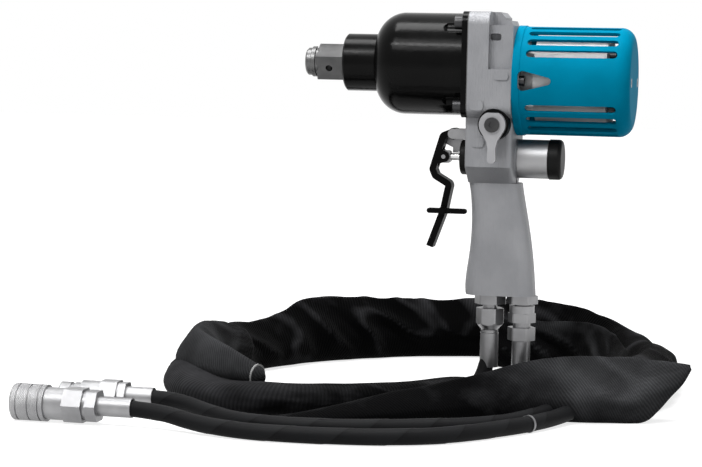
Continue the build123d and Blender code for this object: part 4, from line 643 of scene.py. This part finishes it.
def ramp(tree, source, low, high, low_colour, high_colour):
    """Colour ramp from one colour to another between two values of the source."""
    node = tree.nodes.new("ShaderNodeValToRGB")
    node.color_ramp.elements[0].position = low
    node.color_ramp.elements[1].position = high
    node.color_ramp.elements[0].color = (*low_colour, 1)
    node.color_ramp.elements[1].color = (*high_colour, 1)
    tree.links.new(source, node.inputs["Fac"])
    return node.outputs["Color"]


def add_noise(tree, scale, detail, stretch=(1, 1, 1)):
    """Noise in the object's own space, whose scale is for each metre."""
    spot = tree.nodes.new("ShaderNodeTexCoord")
    mapping = tree.nodes.new("ShaderNodeMapping")
    mapping.inputs["Scale"].default_value = stretch
    texture = add_node(tree, "ShaderNodeTexNoise", Scale=scale, Detail=detail)
    tree.links.new(spot.outputs["Object"], mapping.inputs["Vector"])
    tree.links.new(mapping.outputs["Vector"], texture.inputs["Vector"])
    return texture.outputs["Fac"]


def add_bump(tree, shader, height, strength, distance):
    bump = add_node(tree, "ShaderNodeBump", Strength=strength, Distance=distance)
    tree.links.new(height, bump.inputs["Height"])
    tree.links.new(bump.outputs["Normal"], shader.inputs["Normal"])


def varied(name, colours, metallic, roughnesses, grain, depth, stretch=(1, 1, 1)):
    """Finish whose colour and roughness drift in soft patches, over a fine surface grain."""
    material, tree, shader = new_material(name, colours[0], metallic, roughnesses[0])
    patches = add_noise(tree, PATCH_SCALE, 3.0)
    tree.links.new(ramp(tree, patches, 0.35, 0.7, *colours), shader.inputs["Base Color"])
    rough = ramp(tree, patches, 0.3, 0.7, *grey(*roughnesses))
    tree.links.new(rough, shader.inputs["Roughness"])
    add_bump(tree, shader, add_noise(tree, grain, 4.0, stretch), 0.5, depth)
    return material, tree, shader


def cast_aluminium():
    """Casting whose grain is drawn out upwards."""
    return varied(
        "cast_aluminium",
        ((0.235, 0.238, 0.250), (0.285, 0.288, 0.300)),
        0.4,
        (0.42, 0.56),
        1100.0,
        0.0012,
        stretch=(1, 1, 0.06),
    )[0]


def enamel(name, colours, roughness, gloss):
    roughnesses = (roughness, roughness + 0.08)
    material, _, shader = varied(name, colours, 0.0, roughnesses, 220.0, 0.0002)
    shader.inputs["Specular IOR Level"].default_value = gloss
    return material


def plated(name, colours, roughnesses):
    return varied(name, colours, 1.0, roughnesses, PLATING_GRAIN, PLATING_DEPTH)[0]


def knurled(name, colours, roughnesses):
    """Plating with diamond knurling about an axis that runs along X."""
    material, tree, shader = varied(
        name, colours, 1.0, roughnesses, PLATING_GRAIN, PLATING_DEPTH
    )
    spot = tree.nodes.new("ShaderNodeTexCoord")
    place_parts = tree.nodes.new("ShaderNodeSeparateXYZ")
    tree.links.new(spot.outputs["Object"], place_parts.inputs["Vector"])
    facing = tree.nodes.new("ShaderNodeSeparateXYZ")
    tree.links.new(spot.outputs["Normal"], facing.inputs["Vector"])
    angle = math_node(tree, "ARCTAN2", facing.outputs["Z"], facing.outputs["Y"])
    along = math_node(tree, "MULTIPLY", place_parts.outputs["X"], 2 * math.pi / KNURL_PITCH)
    waves = [
        math_node(tree, "SINE", math_node(tree, "MULTIPLY_ADD", angle, turns, along))
        for turns in (KNURLS_AROUND, -KNURLS_AROUND)
    ]
    diamonds = math_node(tree, "MAXIMUM", *waves)
    add_bump(tree, shader, diamonds, 0.6, 0.0003)
    return material


def hose_wrap():
    """Wrapped rubber with a fine weave, a near-black line of painted shadow at each lap of the
    tape, and painted shade towards it.
    """
    material, tree, shader = new_material("hose_wrap", (0.009, 0.009, 0.010), 0.0, 0.55)
    shader.inputs["Specular IOR Level"].default_value = 0.06
    parts = tree.nodes.new("ShaderNodeSeparateXYZ")
    tree.links.new(tube_uv(tree), parts.inputs["Vector"])
    turns = math_node(tree, "MULTIPLY", parts.outputs["X"], 1 / WRAP_PITCH)
    around = 1 / (math.pi * HOSE_DIAMETER)
    slant = math_node(tree, "MULTIPLY_ADD", parts.outputs["Y"], around, turns)
    phase = math_node(tree, "FRACT", slant)
    # Painted shade: near black at the step of each lap, darker across the tape towards the part
    # under the next turn
    colour = tree.nodes.new("ShaderNodeValToRGB")
    stops = colour.color_ramp.elements
    stops[0].position = 0.0
    stops[0].color = (0.0005, 0.0005, 0.0005, 1)
    stops[1].position = LAP_SHADOW_END
    stops[1].color = (0.0095, 0.0098, 0.0105, 1)
    under_lap_shade = stops.new(LAP_SHADE_START)
    under_lap_shade.color = (0.0055, 0.0055, 0.006, 1)
    tree.links.new(phase, colour.inputs["Fac"])
    tree.links.new(colour.outputs["Color"], shader.inputs["Base Color"])
    add_bump(tree, shader, add_noise(tree, 1500.0, 3.0), 0.4, 0.0002)
    return material


def woven(name, dark, light, pitch, slant, strength):
    """Ribbed cloth: fine ribs at a pitch and a slant, over soft patches, painted fold highlights,
    painted light on top and lighter spots.
    """
    material, tree, shader = new_material(name, dark, 0.0, 0.85)
    shader.inputs["Specular IOR Level"].default_value = 0.02
    mapping = tree.nodes.new("ShaderNodeMapping")
    mapping.inputs["Rotation"].default_value = (0, 0, math.radians(slant))
    tree.links.new(tube_uv(tree), mapping.inputs["Vector"])
    ribs = add_node(
        tree,
        "ShaderNodeTexWave",
        Scale=2 * math.pi / WAVES_PER_UNIT / pitch,
        Distortion=0.6,
        Detail=1.0,
        Detail_Scale=0.4,
    )
    tree.links.new(mapping.outputs["Vector"], ribs.inputs["Vector"])
    patches = add_noise(tree, CLOTH_PATCH_SCALE, 5.0)
    # Attribute from the mesh: painted highlights on folds and wrinkles, painted light towards the
    # top, and lighter spots
    painted_light_and_spots = tree.nodes.new("ShaderNodeAttribute")
    painted_light_and_spots.attribute_name = "painted_light_and_spots"
    patchy = math_node(tree, "MULTIPLY", patches, PATCH_SHARE)
    painted_light_and_tone = math_node(tree, "MULTIPLY_ADD", painted_light_and_spots.outputs["Fac"], LIGHT_AND_SPOTS_SHARE, patchy)
    cloth_colour = ramp(tree, painted_light_and_tone, 0.33, 0.80, dark, light)
    shade = tree.nodes.new("ShaderNodeMix")
    shade.data_type = "RGBA"
    shade.blend_type = "MULTIPLY"
    shade.inputs["Factor"].default_value = RIB_SHADE
    tree.links.new(cloth_colour, shade.inputs["A"])
    lines = ramp(tree, ribs.outputs["Fac"], 0.15, 0.75, *grey(0.35, 1.0))
    tree.links.new(lines, shade.inputs["B"])
    tree.links.new(shade.outputs["Result"], shader.inputs["Base Color"])
    add_bump(tree, shader, ribs.outputs["Fac"], strength, 0.0008)
    shader.inputs["Sheen Weight"].default_value = CLOTH_SHEEN
    shader.inputs["Sheen Roughness"].default_value = 0.5
    return material


finishes = {
    "drive_steel": plated(
        "ground_steel", ((0.07, 0.07, 0.072), (0.13, 0.13, 0.13)), (0.24, 0.42)
    ),
    "spring_ring": plated("spring_steel", grey(0.07, 0.12), (0.3, 0.4)),
    "rubber": varied("black_rubber", grey(0.02, 0.035), 0.0, (0.5, 0.7), 900.0, 0.0002)[0],
    "case_black": enamel("case_enamel", grey(0.0012, 0.0025), 0.15, 0.07),
    "gasket": varied("gasket_fibre", grey(0.10, 0.14), 0.0, (0.8, 0.9), 900.0, 0.0002)[0],
    "black_oxide": plated("black_oxide", ((0.03, 0.03, 0.032), (0.06, 0.06, 0.06)), (0.35, 0.5)),
    "bronze": plated("bearing_bronze", ((0.45, 0.30, 0.14), (0.55, 0.38, 0.18)), (0.3, 0.45)),
    "hammer_steel": plated("hammer_steel", ((0.25, 0.24, 0.23), (0.35, 0.34, 0.33)), (0.35, 0.5)),
    "gear_steel": plated("gear_steel", grey(0.45, 0.55), (0.25, 0.4)),
    "housing_cast": cast_aluminium(),
    "motor_cast": varied("motor_casting", grey(0.30, 0.42), 0.7, (0.4, 0.55), 700.0, 0.0004)[0],
    "guard_blue": enamel("guard_enamel", ((0.0, 0.165, 0.275), (0.0, 0.19, 0.32)), 0.42, 0.005),
    "chrome": plated("satin_chrome", ((0.25, 0.25, 0.255), (0.32, 0.32, 0.325)), (0.42, 0.52)),
    "cap_black": enamel("cap_enamel", grey(0.004, 0.008), 0.4, 0.08),
    "zinc": plated("zinc_plate", ((0.18, 0.18, 0.185), (0.27, 0.27, 0.275)), (0.30, 0.42)),
    "lever_black": enamel("lever_enamel", grey(0.002, 0.005), 0.36, 0.03),
    "lever_cast": varied(
        "lever_casting", ((0.25, 0.25, 0.26), (0.32, 0.32, 0.33)), 0.6, (0.38, 0.5), 900.0, 0.0003
    )[0],
}
coupler_finish = (((0.22, 0.22, 0.225), (0.33, 0.33, 0.335)), (0.38, 0.50))
coupler_plate = plated("coupler_plate", *coupler_finish)
knurled_plate = knurled("knurled_plate", *coupler_finish)

# A node has its slot's finish, but the couplers and the catch pin have one of their own
slot_of = {part["node"]: part["material_slot"] for part in frame["record"]["subparts"]}
for node, obj in frame["nodes"].items():
    finish = finishes.get(slot_of[node])
    if node.startswith(("female_", "male_", "coupler_")):
        finish = knurled_plate if node == "coupler_sleeve" else coupler_plate
    if node == "catch_pin":
        finish = finishes["lever_black"]
    if finish:
        obj.data.materials.clear()
        obj.data.materials.append(finish)

wrap = hose_wrap()
for tube in (pressure_tube, return_tube):
    tube.data.materials.append(wrap)
sleeve_ring.data.materials.append(
    woven("ribbed_cloth", (0.0004, 0.0004, 0.0005), (0.040, 0.040, 0.043), 0.0033, 8.0, 0.7)
)
twill = woven("twill_cloth", (0.0015, 0.0015, 0.0017), (0.052, 0.053, 0.056), 0.0022, -28.0, 0.5)
for piece in (sleeve_flap, sleeve_lobe, sleeve_tuck):
    piece.data.materials.append(twill)
hose_clip.data.materials.append(finishes["zinc"])
lobe_tie.data.materials.append(
    varied("tie_cord", grey(0.16, 0.30), 0.0, (0.7, 0.8), 900.0, 0.0003)[0]
)


# Floor and light
FLOOR_REACH = 9.0
FLOOR_GLOW = 0.70
GLOW_PER_METRE = 0.2
FLOOR_GREY = 0.36
WORLD_LIGHT = 0.24

# Lamps: name, spot, aim, width and height, power
LAMPS = (
    ("key", (-0.7, -1.7, 1.9), (0, -0.1, 0.25), (1.0, 1.0), 18),
    ("top", (0.0, -0.05, 2.2), (0, -0.1, 0.2), (1.7, 0.75), 54),
    ("strip", (-0.35, -1.3, 1.45), (0, -0.1, 0.33), (1.5, 0.04), 16),
    ("right", (2.0, -0.9, 1.0), (0, -0.1, 0.25), (0.8, 1.6), 9),
)


def seen_directly(tree):
    """1 for camera, glossy and transmission rays, and 0 for the rays that light the object."""
    rays = tree.nodes.new("ShaderNodeLightPath")
    shown = math_node(
        tree, "MAXIMUM", rays.outputs["Is Glossy Ray"], rays.outputs["Is Transmission Ray"]
    )
    return math_node(tree, "MAXIMUM", shown, rays.outputs["Is Camera Ray"])


def add_stage():
    """Pale floor that keeps the shadow near the object and turns plain white further off."""
    corners = [(-1, -1), (1, -1), (1, 1), (-1, 1)]
    mesh = bpy.data.meshes.new("floor")
    vertices = [(FLOOR_REACH * x, FLOOR_REACH * y, 0) for x, y in corners]
    mesh.from_pydata(vertices, [], [(0, 1, 2, 3)])
    floor = bpy.data.objects.new("floor", mesh)
    bpy.context.scene.collection.objects.link(floor)
    material, tree, shader = new_material("floor_paint", (FLOOR_GREY,) * 3, 0.0, 0.9)
    shader.inputs["Emission Color"].default_value = (1, 1, 1, 1)
    spot = tree.nodes.new("ShaderNodeTexCoord")
    distance = tree.nodes.new("ShaderNodeVectorMath")
    distance.operation = "LENGTH"
    tree.links.new(spot.outputs["Object"], distance.inputs[0])
    metres = distance.outputs["Value"]
    glow = math_node(tree, "MULTIPLY_ADD", metres, GLOW_PER_METRE, FLOOR_GLOW)
    glow = math_node(tree, "MINIMUM", glow, 1.0)
    strength = math_node(tree, "MULTIPLY", glow, seen_directly(tree))
    tree.links.new(strength, shader.inputs["Emission Strength"])
    mesh.materials.append(material)


def add_area(name, spot, aim, size, power):
    data = bpy.data.lights.new(name, "AREA")
    data.shape = "RECTANGLE"
    data.size = size[0]
    data.size_y = size[1]
    data.energy = power
    lamp = bpy.data.objects.new(name, data)
    lamp.location = spot
    lamp.rotation_euler = (Vector(aim) - Vector(spot)).to_track_quat("-Z", "Y").to_euler()
    bpy.context.scene.collection.objects.link(lamp)


def add_world():
    """World that looks white to the camera and in gloss, and lights the object dimly."""
    world = bpy.data.worlds.new("studio")
    world.use_nodes = True
    tree = world.node_tree
    background = tree.nodes["Background"]
    background.inputs["Color"].default_value = (1, 1, 1, 1)
    seen = seen_directly(tree)
    strength = math_node(tree, "MULTIPLY_ADD", seen, 1 - WORLD_LIGHT, WORLD_LIGHT)
    tree.links.new(strength, background.inputs["Strength"])
    bpy.context.scene.world = world


add_stage()
for lamp in LAMPS:
    add_area(*lamp)
add_world()
bpy.context.scene.view_settings.view_transform = "Standard"
